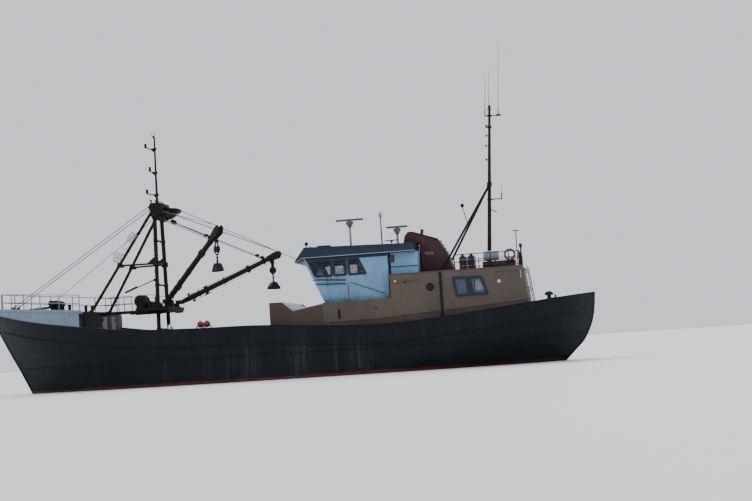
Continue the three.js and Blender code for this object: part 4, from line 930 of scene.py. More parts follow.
def make_forecastle():
    def place(u, side, v):
        x = FORECASTLE_X + (18.56 - FORECASTLE_X) * math.sin(u * math.pi / 2)
        y = max(top_half(x) - 0.06, 0.05)
        low, high = sheer(x) - 0.06, forecastle_z(x)
        return Vector((x, side * y, low + (high - low) * v))

    shell = shell_grid(60, 5, place)
    shell.make("forecastle_shell", "pale_blue", stands_for=["forecastle"], smooth=32, bevel=0.012)
    edge = Shape()
    length = 18.5 - FORECASTLE_X
    stations = [FORECASTLE_X + 0.03 + length * math.sin(i / 60 * math.pi / 2) for i in range(61)]
    path = [Vector((x, max(top_half(x) - 0.05, 0), forecastle_z(x) + 0.005)) for x in stations]
    section = rounded_outline([(-0.035, -0.09), (0.035, -0.09), (0.035, 0.06), (-0.035, 0.06)], 0.02, 2)
    edge.sweep(section, round_the_end(path))
    edge.make("forecastle_toe_rail", "pale_blue", smooth=50)
    length = 18.3 - FORECASTLE_X
    lay_paint("forecastle_deck_paint",
              [FORECASTLE_X + 0.06 + length * math.sin(i / 40 * math.pi / 2) for i in range(41)],
              lambda x: max(top_half(x) - 0.12, 0.04), forecastle_z)
    # dark grey sheets over the aft end of the pale side and along the bulkhead's edge: painted shade of the
    # aft face
    corner = Shape()
    for side in SIDES:
        loops = []
        for x in (FORECASTLE_X - 0.004, FORECASTLE_X + 0.09, FORECASTLE_X + 0.18):
            y = side * (top_half(x) - 0.06)
            low, high = sheer(x) + 0.03, forecastle_z(x) - 0.09
            loops.append([(x, y, low), (x, y + side * 0.008, low), (x, y + side * 0.008, high),
                          (x, y, high)])
        corner.rings(loops)
        half = top_half(FORECASTLE_X)
        inner, outer = sorted((side * (half - 0.46), side * (half + 0.004)))
        corner.box(FORECASTLE_X - 0.014, FORECASTLE_X + 0.01, inner, outer, sheer(FORECASTLE_X) + 0.03,
                   forecastle_z(FORECASTLE_X) - 0.09)
    corner.make("forecastle_corner_shade", "dark")


make_forecastle()


# Soft edges on the CAD nodes that stay in view
def soften(names, width):
    """Bevels and smooths nodes of the solids."""
    for name in names:
        node = NODES[name]
        weld = node.modifiers.new("weld", "WELD")
        weld.merge_threshold = 0.0002
        round_edges(node, width).harden_normals = True
        node.data.polygons.foreach_set("use_smooth", [True] * len(node.data.polygons))


for edge_width, soft_names in [
    (0.010, "casing_port casing_starboard casing_aft casing_door boat_deck wheelhouse_deck "
            "wheelhouse_port wheelhouse_starboard wheelhouse_front wheelhouse_aft wheelhouse_door annex "
            "winch_shelter boat_deck_locker hatch_coaming hatch_lid forecastle_bulkhead "
            "forecastle_door_middle forecastle_door_starboard rudder winch_frame gooseneck_port "
            "gooseneck_starboard"),
    (0.022, "wheelhouse_roof mast_head helm_console helm_chair"),
    (0.006, "mast_platform main_stay forestay_port forestay_starboard propeller"),
    (0.06, "funnel"),
]:
    soften(soft_names.split(), edge_width)


def eye(shape, spot, axis, radius=0.045, thickness=0.014):
    """A small ring that a wire or shackle goes through."""
    return shape.ring(spot, axis, radius, thickness, 16, 6)


def floodlight(shape, spot, aim, size=0.16):
    """A square floodlight on a short fork, its glass towards aim."""
    aim = Vector(aim).normalized()
    turn = aim.to_track_quat("Z", "Y").to_matrix().to_4x4()
    lamp = Shape()
    rows = [(0.55, -0.55), (0.8, -0.4), (1.0, 0.1), (1.08, 0.35), (1.08, 0.5), (0.9, 0.5), (0.86, 0.42)]
    lamp.rings([[(u * size * k, v * size * k, h * size)
                 for u, v in rounded_outline([(-1, -0.8), (1, -0.8), (1, 0.8), (-1, 0.8)], 0.3, 3)]
                for k, h in rows])
    shape.join(lamp.moved(Matrix.Translation(spot) @ turn))
    side = aim.cross(Vector(UP)).normalized() * size * 1.15
    spot = Vector(spot)
    drop = Vector((0, 0, -size * 1.5))
    shape.tube([spot - side, spot - side + drop * 0.8, spot + drop, spot + side + drop * 0.8, spot + side],
               0.014, 6)
    return spot + drop


def block(shape, spot, along_axis, across, radius=0.11):
    """A small wire block: two cheeks, its sheave and an eye at each end."""
    spot = Vector(spot)
    run = Vector(along_axis).normalized()
    across = Vector(across).normalized()
    for offset in (-0.55, 0.55):
        shape.lathe(both_ways((radius * 0.75, 0.008), (radius, 0.004)),
                    spot + across * radius * offset, across, 20)
    shape.lathe(both_ways((radius * 0.8, 0.3 * radius), (radius * 0.62, 0)), spot, across, 20)
    shape.lathe(both_ways((radius * 0.25, 0.75 * radius)), spot, across, 10)
    eye(shape, spot + run * radius * 1.2, across, radius * 0.32, radius * 0.1)
    eye(shape, spot - run * radius * 1.2, across, radius * 0.32, radius * 0.1)
    return shape


def ladder(shape, foot, head, out, width=0.34, rail=0.018, spacing=0.3):
    """Two rails and rungs; out is the direction across the ladder."""
    foot, head, out = Vector(foot), Vector(head), Vector(out).normalized() * width / 2
    for side in (-1, 1):
        shape.rod(foot + out * side, head + out * side, rail, 8)
    count = int((head - foot).length / spacing)
    for i in range(count):
        spot = foot.lerp(head, (i + 0.5) / count)
        shape.rod(spot - out, spot + out, rail * 0.75, 6)


def chain(shape, start, end, wire=0.02, pitch=0.085):
    """Open links, each turned a quarter from the last."""
    start, end = Vector(start), Vector(end)
    run = (end - start).normalized()
    count = max(int(round((end - start).length / pitch)), 2)
    side = run.orthogonal().normalized()
    for i in range(count):
        middle = start.lerp(end, (i + 0.5) / count)
        turn = side if i % 2 else run.cross(side)
        half = pitch * 0.72
        points = []
        for k in range(16):
            angle = 2 * math.pi * k / 16
            stretch = run * (math.cos(angle) * half * 0.62 + math.copysign(half * 0.38, math.cos(angle)))
            points.append(middle + stretch + turn * math.sin(angle) * wire * 1.9)
        shape.sweep(circle(wire, 6), points, closed=True)


# Places that several pieces share
PLATFORM_Z = 4.5
HEEL_X, HEEL_Y = 7.32, 1.25
DRUM_X, DRUM_Z = 9.13, 5.03
WARPING_X, WARPING_Y, WARPING_Z = 8.33, 0.72, 4.76
BOAT_DECK_Z = 5.38
CASING_Y = 2.85
IN_CASING_WALL = 2.845
WINCH = (-0.25, 0, 2.86)
SCANNERS = [
    # name, x, height and length
    ("forward", -3.56, 8.88, 1.62),
    ("aft", -6.30, 8.27, 1.24),
]


# Foremast
LEG_X = 7.88
LEG_TOP = 9.78
LEG_RADIUS = 0.115
RAKING_HEAD = 10.17
BRACE_Z = 7.15
LEG_LEAN = 0.049


def leg_y(z):
    return 1.060 - (z - 2.2) * LEG_LEAN


def raking(z):
    """Port raking leg at a height."""
    share = (10.35 - z) / (10.35 - 4.44)
    return Vector((7.97 + (11.78 - 7.97) * share, 0.65 + (1.56 - 0.65) * share, z))


def make_foremast():
    legs = Shape()
    for side in SIDES:
        foot = Vector((LEG_X, side * leg_y(2.26), 2.262))
        legs.tube([foot, Vector((LEG_X, side * leg_y(LEG_TOP), LEG_TOP))], LEG_RADIUS, 28)
        legs.lathe([(0.20, 0), (0.20, 0.03), (0.14, 0.05), (0.12, 0.14)], foot, UP, 28)
        for z in (3.3, 5.9, 8.5):
            legs.lathe(both_ways((0.117, 0.09), (0.135, 0.07)),
                       (LEG_X, side * leg_y(z), z), (0, -side * LEG_LEAN, 1), 28)
    for z in (3.3, 5.9, BRACE_Z, 8.5):
        legs.crossbar(LEG_X, -leg_y(z), leg_y(z), z, 0.06, 20)
    legs.make("foremast_legs_round", "mast", stands_for=["foremast_legs"])

    steps = Shape()
    for i in range(16):
        z = 4.85 + i * 0.31
        x0, x1 = LEG_X - 0.10, LEG_X + 0.10
        near, far = leg_y(z) + 0.09, leg_y(z) + 0.26
        steps.tube([(x0, near, z), (x0, far, z), (x1, far, z), (x1, near, z)], 0.012, 8)
    steps.make("foremast_steps", "mast")

    for side, name in NAMED_SIDES:
        leg = Shape()
        path = [raking(RAKING_HEAD), raking(7.0), raking(4.53)]
        leg.tube(path, 0.085, 24)
        leg.lathe([(0.17, 0), (0.17, 0.025), (0.10, 0.05), (0.088, 0.12)],
                  raking(4.535) + Vector((0.06, 0, -0.01)), raking(5.5) - raking(4.5), 24)
        leg.rod((LEG_X, leg_y(BRACE_Z), BRACE_Z), (10.0, 1.12, BRACE_Z), 0.055, 20)
        leg.prism([(9.70, 7.02), (10.22, 7.02), (10.12, 7.33), (9.88, 7.33)], 1.085, 1.155)
        leg.lathe(both_ways((0.17, 0.16), (0.20, 0.14)), (LEG_X, leg_y(BRACE_Z), BRACE_Z),
                  (0, -LEG_LEAN, 1), 28)
        leg.prism([(LEG_X + 0.12, 7.10), (LEG_X + 0.65, 7.12), (LEG_X + 0.12, 7.55)], leg_y(BRACE_Z) - 0.02,
                  leg_y(BRACE_Z) + 0.02)
        for z in (5.4, 6.3, 8.0, 9.0, 9.7):
            here = raking(z)
            leg.lathe(both_ways((0.087, 0.04), (0.102, 0.03)), here, raking(z + 0.5) - here, 24)
        if side < 0:
            leg = leg.mirrored()
        leg.make("raking_leg_round_" + name, "mast", bevel=0.006, stands_for=["raking_leg_" + name])

    # open frames of flat bar on the forward face of the port raking leg
    frames = Shape()
    for centre, lean in (((9.22, 0.98, 8.76), 0.60), ((10.12, 1.14, 7.62), 0.30)):
        centre = Vector(centre)
        up = Vector((-math.sin(lean), 0, math.cos(lean)))
        out = Vector((math.cos(lean), 0, math.sin(lean)))
        for k in range(9):
            v = -0.27 + k * 0.0675
            frames.rod(centre - out * 0.22 + up * v, centre + out * 0.22 + up * v,
                       0.017 if k % 4 == 0 else 0.008, 6)
        for k in range(7):
            u = -0.22 + k * 0.22 / 3
            frames.rod(centre + out * u - up * 0.29, centre + out * u + up * 0.29,
                       0.017 if k % 3 == 0 else 0.008, 6)
        for v in (-0.2, 0.2):
            frames.rod(raking(centre.z + v), centre - out * 0.22 + up * v, 0.018, 6)
    frames.rod((9.45, 0.99, 8.62), (9.98, 1.12, 7.93), 0.014, 6)
    frames.rod((9.30, 0.97, 8.48), (9.86, 1.10, 7.76), 0.014, 6)
    frames.make("antenna_frames", "galvanised")

    # lower forestay and the rigging screws at the feet of the stays
    stay = Shape()
    low = Vector((14.84, 1.0, forecastle_z(14.84) + 0.02))
    high = Vector((8.02, 0.45, 9.79))
    stay.rod(low, high, 0.016, 8)
    stays = [(low, high, 0.35)]
    stays += [(Vector((17.3, side * 0.3, 4.96)), Vector((8.3, side * 0.38, 10.56)), 0.25) for side in SIDES]
    for foot, head, first in stays:
        run = (head - foot).normalized()
        for k in (first, first + 0.34):
            stay.lathe(both_ways((0.022, 0.05), (0.036, 0.04)), foot + run * k, run, 12)
        for turn in (-1, 1):
            across = run.cross(Vector(ACROSS)).normalized() * 0.03 * turn
            stay.rod(foot + run * first + across, foot + run * (first + 0.34) + across, 0.010, 6)
        stay.rod(foot + run * (first - 0.1), foot + run * (first + 0.45), 0.019, 8)
    eye(stay, low + Vector((0, 0, 0.02)), ACROSS, 0.05, 0.018)
    stay.make("lower_forestay", "wire")

    spar = Shape()
    spar.rod((LEG_X + 0.1, leg_y(6.2) - 0.02, 6.22), (9.95, 0.62, 5.56), 0.032, 12, end_radius=0.028)
    spar.rod((9.15, 0.72, 5.86), (9.92, 0.63, 5.58), 0.065, 14, end_radius=0.055)
    spar.lathe(both_ways((0.06, 0.07)), (LEG_X + 0.16, leg_y(6.2) - 0.02, 6.2), UP, 12)
    spar.make("drum_guide_spar", "mast", bevel=0.006)


make_foremast()


def make_mast_head():
    gear = Shape()
    for side in SIDES:
        y = side * HEEL_Y
        gear.lathe(both_ways((0.13, 0.04), (0.20, 0.035), (0.16, 0)), (HEEL_X, y, 10.16), ACROSS, 28)
        gear.crossbar(HEEL_X, y - 0.11, y + 0.11, 10.16, 0.03, 12)
        gear.crossbar(HEEL_X, side * 0.86, side * 1.32, 10.33, 0.06, 16)
        for x, y, z in ((6.72, 0.47, 10.23), (7.66, 0.40, 9.78), (8.12, 0.30, 10.06)):
            gear.lathe(both_ways((0.09, 0.03), (0.13, 0.028), (0.10, 0)), (x, side * y, z), ACROSS, 24)
        gear.crossbar(6.72, side * 0.40, side * 0.52, 10.23, 0.03, 12)
        gear.plate([(7.50, 9.81), (7.97, 9.81), (8.10, 10.40), (8.02, 10.66), (7.56, 10.64)], 0.05, 3,
                   side * 0.85, side * 0.875)
        for x, z in ((7.56, 9.87), (7.92, 9.87), (7.62, 10.58), (7.98, 10.58), (8.03, 10.36)):
            gear.bolt(0.022, 0.03, (x, side * 0.87, z), (0, side, 0))
        for x in (6.70, 6.98, 7.26):
            eye(gear, (x, side * 0.22, 10.18 - (x - 6.54) * 0.408 - 0.045), ALONG, 0.055, 0.017)
        lamp = floodlight(gear, (8.07, side * 0.62, 10.86), (0.9, side * 0.2, -0.5), 0.10)
        gear.rod(lamp, (8.02, side * 0.62, 10.71), 0.022, 8)
        lamp = floodlight(gear, (7.22, side * 0.62, 9.72), (-0.5, side * 0.4, -1), 0.12)
        gear.rod(lamp + Vector((0, 0, 0.2)), (7.26, side * 0.62, 9.94), 0.03, 8)
        gear.post(7.75, side * 0.78, 10.70, 10.86, 0.022, 8)
    gear.box(7.62, 7.72, -0.85, 0.85, 10.70, 10.745)
    gear.crossbar(7.75, -0.82, 0.82, 10.86, 0.026, 12)
    gear.make("mast_head_fittings", "mast", bevel=0.006)

    pole = Shape()
    pole.tube([(7.89, 0, 10.70), (7.88, 0, 12.6), (7.85, 0, 14.74)], 0.075, 24, end_radius=0.045)
    pole.lathe([(0.15, 0), (0.15, 0.03), (0.09, 0.05), (0.08, 0.16)], (7.89, 0, 10.725), UP, 24)
    for z, reach in ((14.27, 0.53), (12.86, 0.34), (11.54, 0.58)):
        out = 7.89 + reach
        pole.tube([(7.87, 0, z - 0.26), (7.95, 0, z - 0.25), (out - 0.16, 0, z - 0.22),
                   (out - 0.05, 0, z - 0.17), (out, 0, z - 0.10)], 0.034, 12)
        pole.lathe([(0.05, -0.16), (0.085, -0.14), (0.085, -0.10), (0.06, -0.09), (0.06, 0.05),
                    (0.085, 0.06), (0.08, 0.09), (0.03, 0.11)], (out, 0, z), UP, 20)
        for dx, y in circle(0.075, 4, math.pi / 4):
            pole.post(out + dx, y, z - 0.11, z + 0.07, 0.006, 5)
        pole.lathe(both_ways((0.085, 0.07), (0.11, 0.05)), (7.87, 0, z - 0.26), UP, 20)
        pole.prism([(7.87, z - 0.50), (7.87, z - 0.26), (8.14, z - 0.25)], -0.008, 0.008)
    for dx in (-0.06, 0.2):
        pole.rod((7.89, 0, 14.62), (7.89 + dx, 0, 14.98), 0.018, 8)
    pole.rod((7.80, 0, 14.93), (8.15, 0, 14.95), 0.012, 6)
    pole.ball((7.89, 0, 14.76), 0.06)
    for i in range(9):
        z = 11.0 + i * 0.38
        pole.crossbar(7.89, -0.13, 0.13, z, 0.011, 6)
    pole.make("topmast_round", "mast", stands_for=["topmast"])


make_mast_head()


# Platform fittings, the rope drum and its winding
def make_platform():
    gear = Shape()
    for side in SIDES:
        gear.box(7.06, 8.9, side * 1.62, side * 1.65, PLATFORM_Z, 4.56)
        for x in (7.20, 7.9, 8.6):
            gear.prism([(side * 1.12, 4.36), (side * 1.63, 4.36), (side * 1.12, 4.20)], x - 0.012,
                       x + 0.012, "x")
        gear.lathe([(0.19, 0), (0.215, 0.01), (0.215, 0.035), (0.19, 0.05)],
                   (HEEL_X, side * HEEL_Y, PLATFORM_Z), UP, 32)
        for dx, dy in circle(0.2, 8):
            gear.bolt(0.016, 0.02, (HEEL_X + dx, side * HEEL_Y + dy, 4.53), UP)
        for x in (9.6, 10.4, 11.2):
            gear.post(x, side * 0.50, 4.36, 5.35, 0.02, 10)
        for z in (4.93, 5.35):
            gear.stringer(9.6, 11.5, side * 0.50, z, 0.016, 10)
        block(gear, (7.30, side * 0.50, 4.68), (1, 0, 0.2), ACROSS, 0.12)
        gear.post(7.30, side * 0.50, PLATFORM_Z, 4.60, 0.03, 8)
        for x in (7.82, 8.84):
            gear.post(x, side * 1.58, PLATFORM_Z, 5.30, 0.020, 10)
        for z in (4.92, 5.30):
            gear.stringer(7.82, 8.84, side * 1.58, z, 0.016, 10)
    for i in range(15):
        x = 7.12 + i * 0.115
        gear.box(x, x + 0.035, -1.6, -1.47, PLATFORM_Z, 4.515)
    for i in range(17):
        x = 9.75 + i * 0.105
        gear.box(x, x + 0.03, -0.46, 0.46, PLATFORM_Z, 4.512)
    gear.box(7.06, 7.09, -1.65, 1.65, PLATFORM_Z, 4.56)
    gear.box(7.24, 7.66, -0.40, 0.40, PLATFORM_Z, 4.74)
    for y in (-0.34, -0.12, 0.12, 0.34):
        gear.plate([(7.28, 4.72), (7.62, 4.72), (7.58, 5.02), (HEEL_X, 5.02)], 0.06, 3, y - 0.02, y + 0.02)
    for y in (-0.23, 0.23):
        gear.lathe(both_ways((0.10, 0.06), (0.13, 0.055), (0.10, 0)), (7.45, y, 4.90), ACROSS, 28)
    gear.crossbar(7.45, -0.38, 0.38, 4.90, 0.03, 12)
    for side in SIDES:
        gear.box(7.72, 8.04, side * 1.12, side * 1.56, PLATFORM_Z, 4.86)
        gear.box(7.70, 8.06, side * 1.10, side * 1.58, 4.84, 4.88)
    gear.make("platform_fittings", "mast", bevel=0.004)

    drum = Shape()
    for side in SIDES:
        drum.lathe([(0.09, 0.348), (0.35, 0.352), (0.37, 0.358), (0.37, 0.382), (0.35, 0.388),
                    (0.09, 0.39)], (DRUM_X, 0, DRUM_Z), (0, side, 0), 40)
        y = side * 0.393
        for (x0, z0), (x1, z1) in zip(circle(0.10, 6), circle(0.33, 6)):
            drum.rod((DRUM_X + x0, y, DRUM_Z + z0), (DRUM_X + x1, y, DRUM_Z + z1), 0.010, 6)
        drum.crossbar(DRUM_X, side * 0.39, side * 0.5, DRUM_Z, 0.041, 20)
    drum.crossbar(DRUM_X, -0.40, 0.40, DRUM_Z, 0.075, 24)
    drum.make("rope_drum_flanges", "dark", body="rope_drum", stands_for=["rope_drum"])
    wind(DRUM_X, DRUM_Z, -0.345, 0.345, 0.12, 0.285, 0.022, "rope_drum_winding", "rope", "rope_drum")

    # warping winches inboard of the derrick feet
    winches = Shape()
    for side in SIDES:
        for offset in (-0.205, 0.205):
            winches.lathe(both_ways((0.10, 0.012), (0.175, 0.010), (0.185, 0)),
                          (WARPING_X, side * WARPING_Y + offset, WARPING_Z), ACROSS, 32)
        winches.lathe([(0.108, -0.11), (0.118, -0.10), (0.118, 0.08), (0.108, 0.09)],
                      (WARPING_X, side * 0.38, WARPING_Z), ACROSS, 24)
        for dx, dz in circle(0.085, 6):
            winches.bolt(0.014, 0.02, (WARPING_X + dx, side * 0.27, WARPING_Z + dz), (0, -side, 0))
        winches.crossbar(WARPING_X, side * 0.95, side * 1.02, WARPING_Z, 0.045, 16)
        winches.tube([(8.45, side * 0.36, 4.72), (8.62, side * 0.36, 4.66),
                      (8.66, side * 0.36, PLATFORM_Z)], 0.016, 8)
        winches.tube([(8.45, side * 0.42, 4.80), (8.66, side * 0.42, 4.72),
                      (8.70, side * 0.42, PLATFORM_Z)], 0.016, 8)
    winches.make("platform_winch_fittings", "dark", bevel=0.003)
    for side, name in NAMED_SIDES:
        wind(WARPING_X, WARPING_Z, side * WARPING_Y - 0.19, side * WARPING_Y + 0.19, 0.10, 0.15, 0.011,
             "platform_winch_wire_" + name, "wire", "vessel")


def wind(x, z, low, high, core, top, wire, name, finish, body):
    """Turns of rope or wire side by side on a drum: a ribbed roll with uneven layers."""
    rows = []
    count = int((high - low) / (wire * 2))
    for i in range(count):
        y = low + (i + 0.5) * (high - low) / count
        crown = top + wire * (0.5 * math.sin(i * 0.9) + 0.3 * rng.uniform(-1, 1))
        half = (high - low) / count / 2
        rows += [(crown - wire * 0.55, y - half * 0.92), (crown - wire * 0.1, y - half * 0.5), (crown, y),
                 (crown - wire * 0.1, y + half * 0.5)]
    profile = [(core, low)] + rows + [(core, high)]
    Shape().lathe(profile, (x, 0, z), ACROSS, 40).make(name, finish, body=body, smooth=50)


make_platform()


# Derricks, drawn along +X from the topping pin
DERRICKS = [
    # side, name, rise in degrees
    (1, "port", 25.5),
    (-1, "starboard", 21),
]
LUG = (7.3, -0.33)


def sleeve(shape, spot, axis, inner, outer, low, high, sides=28):
    """A round sleeve with a bore."""
    turn = Vector(axis).to_track_quat("Z", "X")
    loops = [[Vector(spot) + turn @ Vector((u, v, h)) for u, v in circle(r, sides)]
             for r, h in ((inner, low), (outer, low), (outer, high), (inner, high))]
    return shape.rings(loops, closed=True)


def pierced(shape, outline, centre, radius, low, high, sides=36):
    """A plate across Y with a round hole, its outline seen from the hole's centre."""
    edges = list(zip(outline, outline[1:] + outline[:1]))
    outer, inner = [], []
    for k in range(sides):
        angle = 2 * math.pi * k / sides
        run = Vector((math.cos(angle), math.sin(angle)))
        reach = radius * 1.2
        for a, b in edges:
            a, edge = Vector(a) - Vector(centre), Vector(b) - Vector(a)
            cross = run.x * edge.y - run.y * edge.x
            if abs(cross) < 1e-9:
                continue
            distance = (a.x * edge.y - a.y * edge.x) / cross
            share = (a.x * run.y - a.y * run.x) / cross
            if distance > 0 and -1e-6 <= share <= 1 + 1e-6:
                reach = max(reach, distance)
        outer.append(Vector(centre) + run * reach)
        inner.append(Vector(centre) + run * radius)
    return shape.rings([[(p.x, y, p.y) for p in loop]
                        for loop, y in ((inner, low), (outer, low), (outer, high), (inner, high))],
                       closed=True)


def make_derrick(side, name, rise):
    slewed = Matrix.Rotation(side * math.radians(131), 4, "Z")
    heel = Matrix.Translation((HEEL_X, side * HEEL_Y, 4.88)) @ slewed
    boom_place = heel @ Matrix.Translation((0.26, 0, 0)) @ Matrix.Rotation(-math.radians(rise), 4, "Y")
    upright = Matrix.Rotation(math.radians(rise), 4, "Y")
    hang_place = boom_place @ Matrix.Translation((LUG[0], 0, LUG[1])) @ upright

    boom = Shape()
    sleeve(boom, (0, 0, 0), ACROSS, 0.0585, 0.12, -0.115, 0.115)
    boom.plate([(0.08, -0.095), (0.55, -0.12), (0.55, 0.12), (0.08, 0.095)], 0.02, 2, -0.08, 0.08)
    stations = [(0.42, 0.10), (0.47, 0.155), (0.6, 0.160), (3.0, 0.160), (5.2, 0.152), (7.0, 0.140),
                (7.7, 0.135)]
    boom.rings([[(x, u, v) for u, v in circle(r, 32)] for x, r in stations])
    head = [(7.1, -0.17), (7.88, -0.26), (8.13, -0.06), (8.06, 0.19), (7.74, 0.23), (7.1, 0.15)]
    boom.plate(head, 0.05, 3, -0.165, -0.10)
    boom.plate(head, 0.05, 3, 0.10, 0.165)
    inner_head = [(7.1, -0.13), (7.62, -0.2), (7.66, 0.15), (7.1, 0.12)]
    boom.prism(inner_head, -0.11, 0.11)
    for x, z, r in ((7.86, 0.02, 0.17), (7.82, -0.17, 0.085)):
        boom.lathe(both_ways((r * 0.9, 0.075), (r, 0.07), (r * 0.8, 0)), (x, 0, z), ACROSS, 28)
        boom.crossbar(x, -0.19, 0.19, z, 0.04, 16)
        for end in (-1, 1):
            boom.bolt(0.06, 0.018, (x, end * 0.165, z), (0, end, 0))
    # bands with eyes: place along the boom, half width and radius
    for x, wide, r in ((1.4, 0.05, 0.175), (3.4, 0.05, 0.175), (5.39, 0.09, 0.205), (6.7, 0.05, 0.175)):
        boom.lathe([(r - 0.03, -wide), (r, -wide + 0.01), (r, wide - 0.01), (r - 0.03, wide)], (x, 0, 0),
                   ALONG, 32)
        for z in (-1, 1):
            eye(boom, (x, 0, z * (r + 0.03)), ACROSS, 0.045, 0.015)
        for y in (-1, 1):
            boom.crossbar(x - 0.03, y * (r - 0.01), y * (r + 0.035), 0, 0.014, 6)
    pierced(boom, [(LUG[0] - 0.11, LUG[1] - 0.09), (LUG[0] + 0.11, LUG[1] - 0.09), (LUG[0] + 0.17, -0.10),
                   (LUG[0] - 0.17, -0.10)], LUG, 0.032, -0.04, 0.04)
    # heel straps and a cleat on the upper side
    boom.prism([(0.10, 0.09), (1.10, 0.155), (1.10, 0.18), (0.10, 0.125)], -0.05, 0.05)
    boom.prism([(0.10, -0.09), (1.10, -0.155), (1.10, -0.18), (0.10, -0.125)], -0.05, 0.05)
    for x in (0.35, 0.6, 0.85):
        for z in (-1, 1):
            boom.bolt(0.02, 0.025, (x, 0, z * (0.12 + x * 0.06)), (0, 0, z))
    boom.box(1.85, 2.05, -0.05, 0.05, -0.24, 0.22)
    boom.stringer(1.72, 2.18, 0, -0.26, 0.035, 12)
    boom.stringer(1.78, 2.12, 0, 0.22, 0.03, 12)
    lamp = Shape()
    tip = floodlight(lamp, (6.42, 0, 0.54), (-0.7, 0, -0.7), 0.12)
    lamp.rod(tip, (6.95, 0, 0.14), 0.022, 8)
    boom.join(lamp)
    boom.moved(boom_place).make("derrick_round_" + name, "mast", body="derrick_" + name, bevel=0.004,
                                stands_for=["derrick_" + name])

    wires = Shape()
    wires.rod((0.75, 0.05, 0.215), (7.80, 0.05, 0.195), 0.011, 6)
    wires.rod((0.95, -0.05, -0.225), (7.55, -0.03, -0.245), 0.011, 6)
    block(wires, (0.68, 0.05, 0.235), ALONG, ACROSS, 0.075)
    block(wires, (0.86, -0.05, -0.245), ALONG, ACROSS, 0.075)
    wires.moved(boom_place).make("derrick_wires_" + name, "wire", body="derrick_" + name)

    hanging = Shape()
    for y in (-0.075, 0.075):
        hanging.plate([(-0.06, -0.36), (0.06, -0.36), (0.06, 0.06), (-0.06, 0.06)], 0.055, 4, y - 0.018,
                      y + 0.018)
    hanging.crossbar(0, -0.11, 0.11, 0, 0.0305, 20)
    for y in (-0.11, 0.11):
        hanging.lathe(both_ways((0.055, 0.012)), (0, y, 0), ACROSS, 6)
    for y in (-0.088, 0.088):
        hanging.lathe(both_ways((0.17, 0.018), (0.21, 0.010)), (0, y, -0.48), ACROSS, 36)
    hanging.lathe(both_ways((0.17, 0.062), (0.185, 0.055), (0.14, 0)), (0, 0, -0.48), ACROSS, 36)
    hanging.crossbar(0, -0.14, 0.14, -0.48, 0.045, 16)
    for y in (-0.07, 0.07):
        hanging.prism([(-0.035, -0.78), (0.035, -0.78), (0.05, -0.30), (-0.05, -0.30)], y - 0.014,
                      y + 0.014)
    hanging.crossbar(0, -0.10, 0.10, -0.74, 0.028, 12)
    hanging.ring((0, 0, -0.80), ACROSS, 0.055, 0.022, 20, 8)
    hanging.lathe(both_ways((0.03, 0.08), (0.055, 0.06), (0.06, 0)), (0, 0, -0.93), UP, 20)
    chain(hanging, (0, 0, -0.98), (0, 0, -1.26), 0.022, 0.10)
    hanging.moved(hang_place).make("hoisting_block_round_" + name, "dark", body="hoisting_block_" + name,
                                   bevel=0.003, stands_for=["hoisting_block_" + name])

    weight = Shape()
    outline = [(-0.14, -1.23), (0.14, -1.23), (0.40, -1.56), (0.40, -1.68), (-0.40, -1.68), (-0.40, -1.56)]
    weight.plate(outline, 0.03, 2, -0.165, 0.165)
    for y in (-1, 1):
        weight.plate(offset_outline(outline, -0.05), 0.03, 2, y * 0.165, y * 0.185)
        weight.stringer(-0.28, 0.28, y * 0.17, -1.53, 0.018, 8)
    weight.box(-0.40, 0.40, -0.185, 0.185, -1.68, -1.62)
    sleeve(weight, (0, 0, -1.20), ACROSS, 0.04, 0.085, -0.03, 0.03)
    for x in (-0.33, 0.33):
        eye(weight, (x, 0, -1.47), ACROSS, 0.05, 0.018)
    weight.moved(hang_place).make("hoisting_weight_" + name, "dark", body="hoisting_block_" + name,
                                  bevel=0.008)

    # topping wires from the mast head, straight at any rise of the derrick
    top = Vector((HEEL_X, side * HEEL_Y, 10.12))
    run = (boom_place @ Vector((6.7, 0, 0.22))) - top
    hang = run.normalized() * 0.06 + Vector((0, 0, -0.42))
    outward = Vector((run.x, run.y, 0)).normalized()
    for label, start, spot, radius in (
            # upper end seen from the mast head, lower end on the boom
            ("outer", outward * 0.17, (7.95, 0, 0.21), 0.017 if side > 0 else 0.024),
            ("upper", hang + Vector((0, 0.03, 0.02)), (6.78, 0.05, 0.20), 0.020),
            ("lower", hang + Vector((0, -0.03, -0.04)), (6.62, -0.05, 0.20), 0.020)):
        end = boom_place @ Vector(spot)
        wire = Shape().rod(top + start, end, radius, 8)
        piece = wire.make(f"topping_wire_{label}_{name}", "wire", body=None)
        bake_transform(piece)
    tackle = Shape()
    across = run.cross(Vector(UP))
    block(tackle, boom_place @ Vector((6.70, 0, 0.27)), run, across, 0.10)
    tackle.make("topping_block_" + name, "dark", body="derrick_" + name)
    upper = Shape()
    block(upper, top + hang, run, across, 0.13)
    upper.rod(top, top + hang * 0.6, 0.022, 8)
    upper.ring(top + Vector((0, 0, -0.02)), across, 0.07, 0.022, 20, 8)
    upper.make("mast_head_block_" + name, "dark", body="gooseneck_" + name)


for derrick_row in DERRICKS:
    make_derrick(*derrick_row)


# Rails on the forecastle and the boat deck
def make_rail(points, height, post=0.028, rail=0.022):
    shape = Shape()
    points = [Vector(p) for p in points]
    for p in points:
        shape.rod(p, p + Vector((0, 0, height)), post, 12)
        shape.lathe([(0.06, 0), (0.06, 0.015), (0.035, 0.03)], p, UP, 14)
        shape.ball(p + Vector((0, 0, height)), post * 1.15, sides=12)
    for share in (0.5, 1.0):
        shape.tube([p + Vector((0, 0, height * share)) for p in points], rail, 12)
    return shape


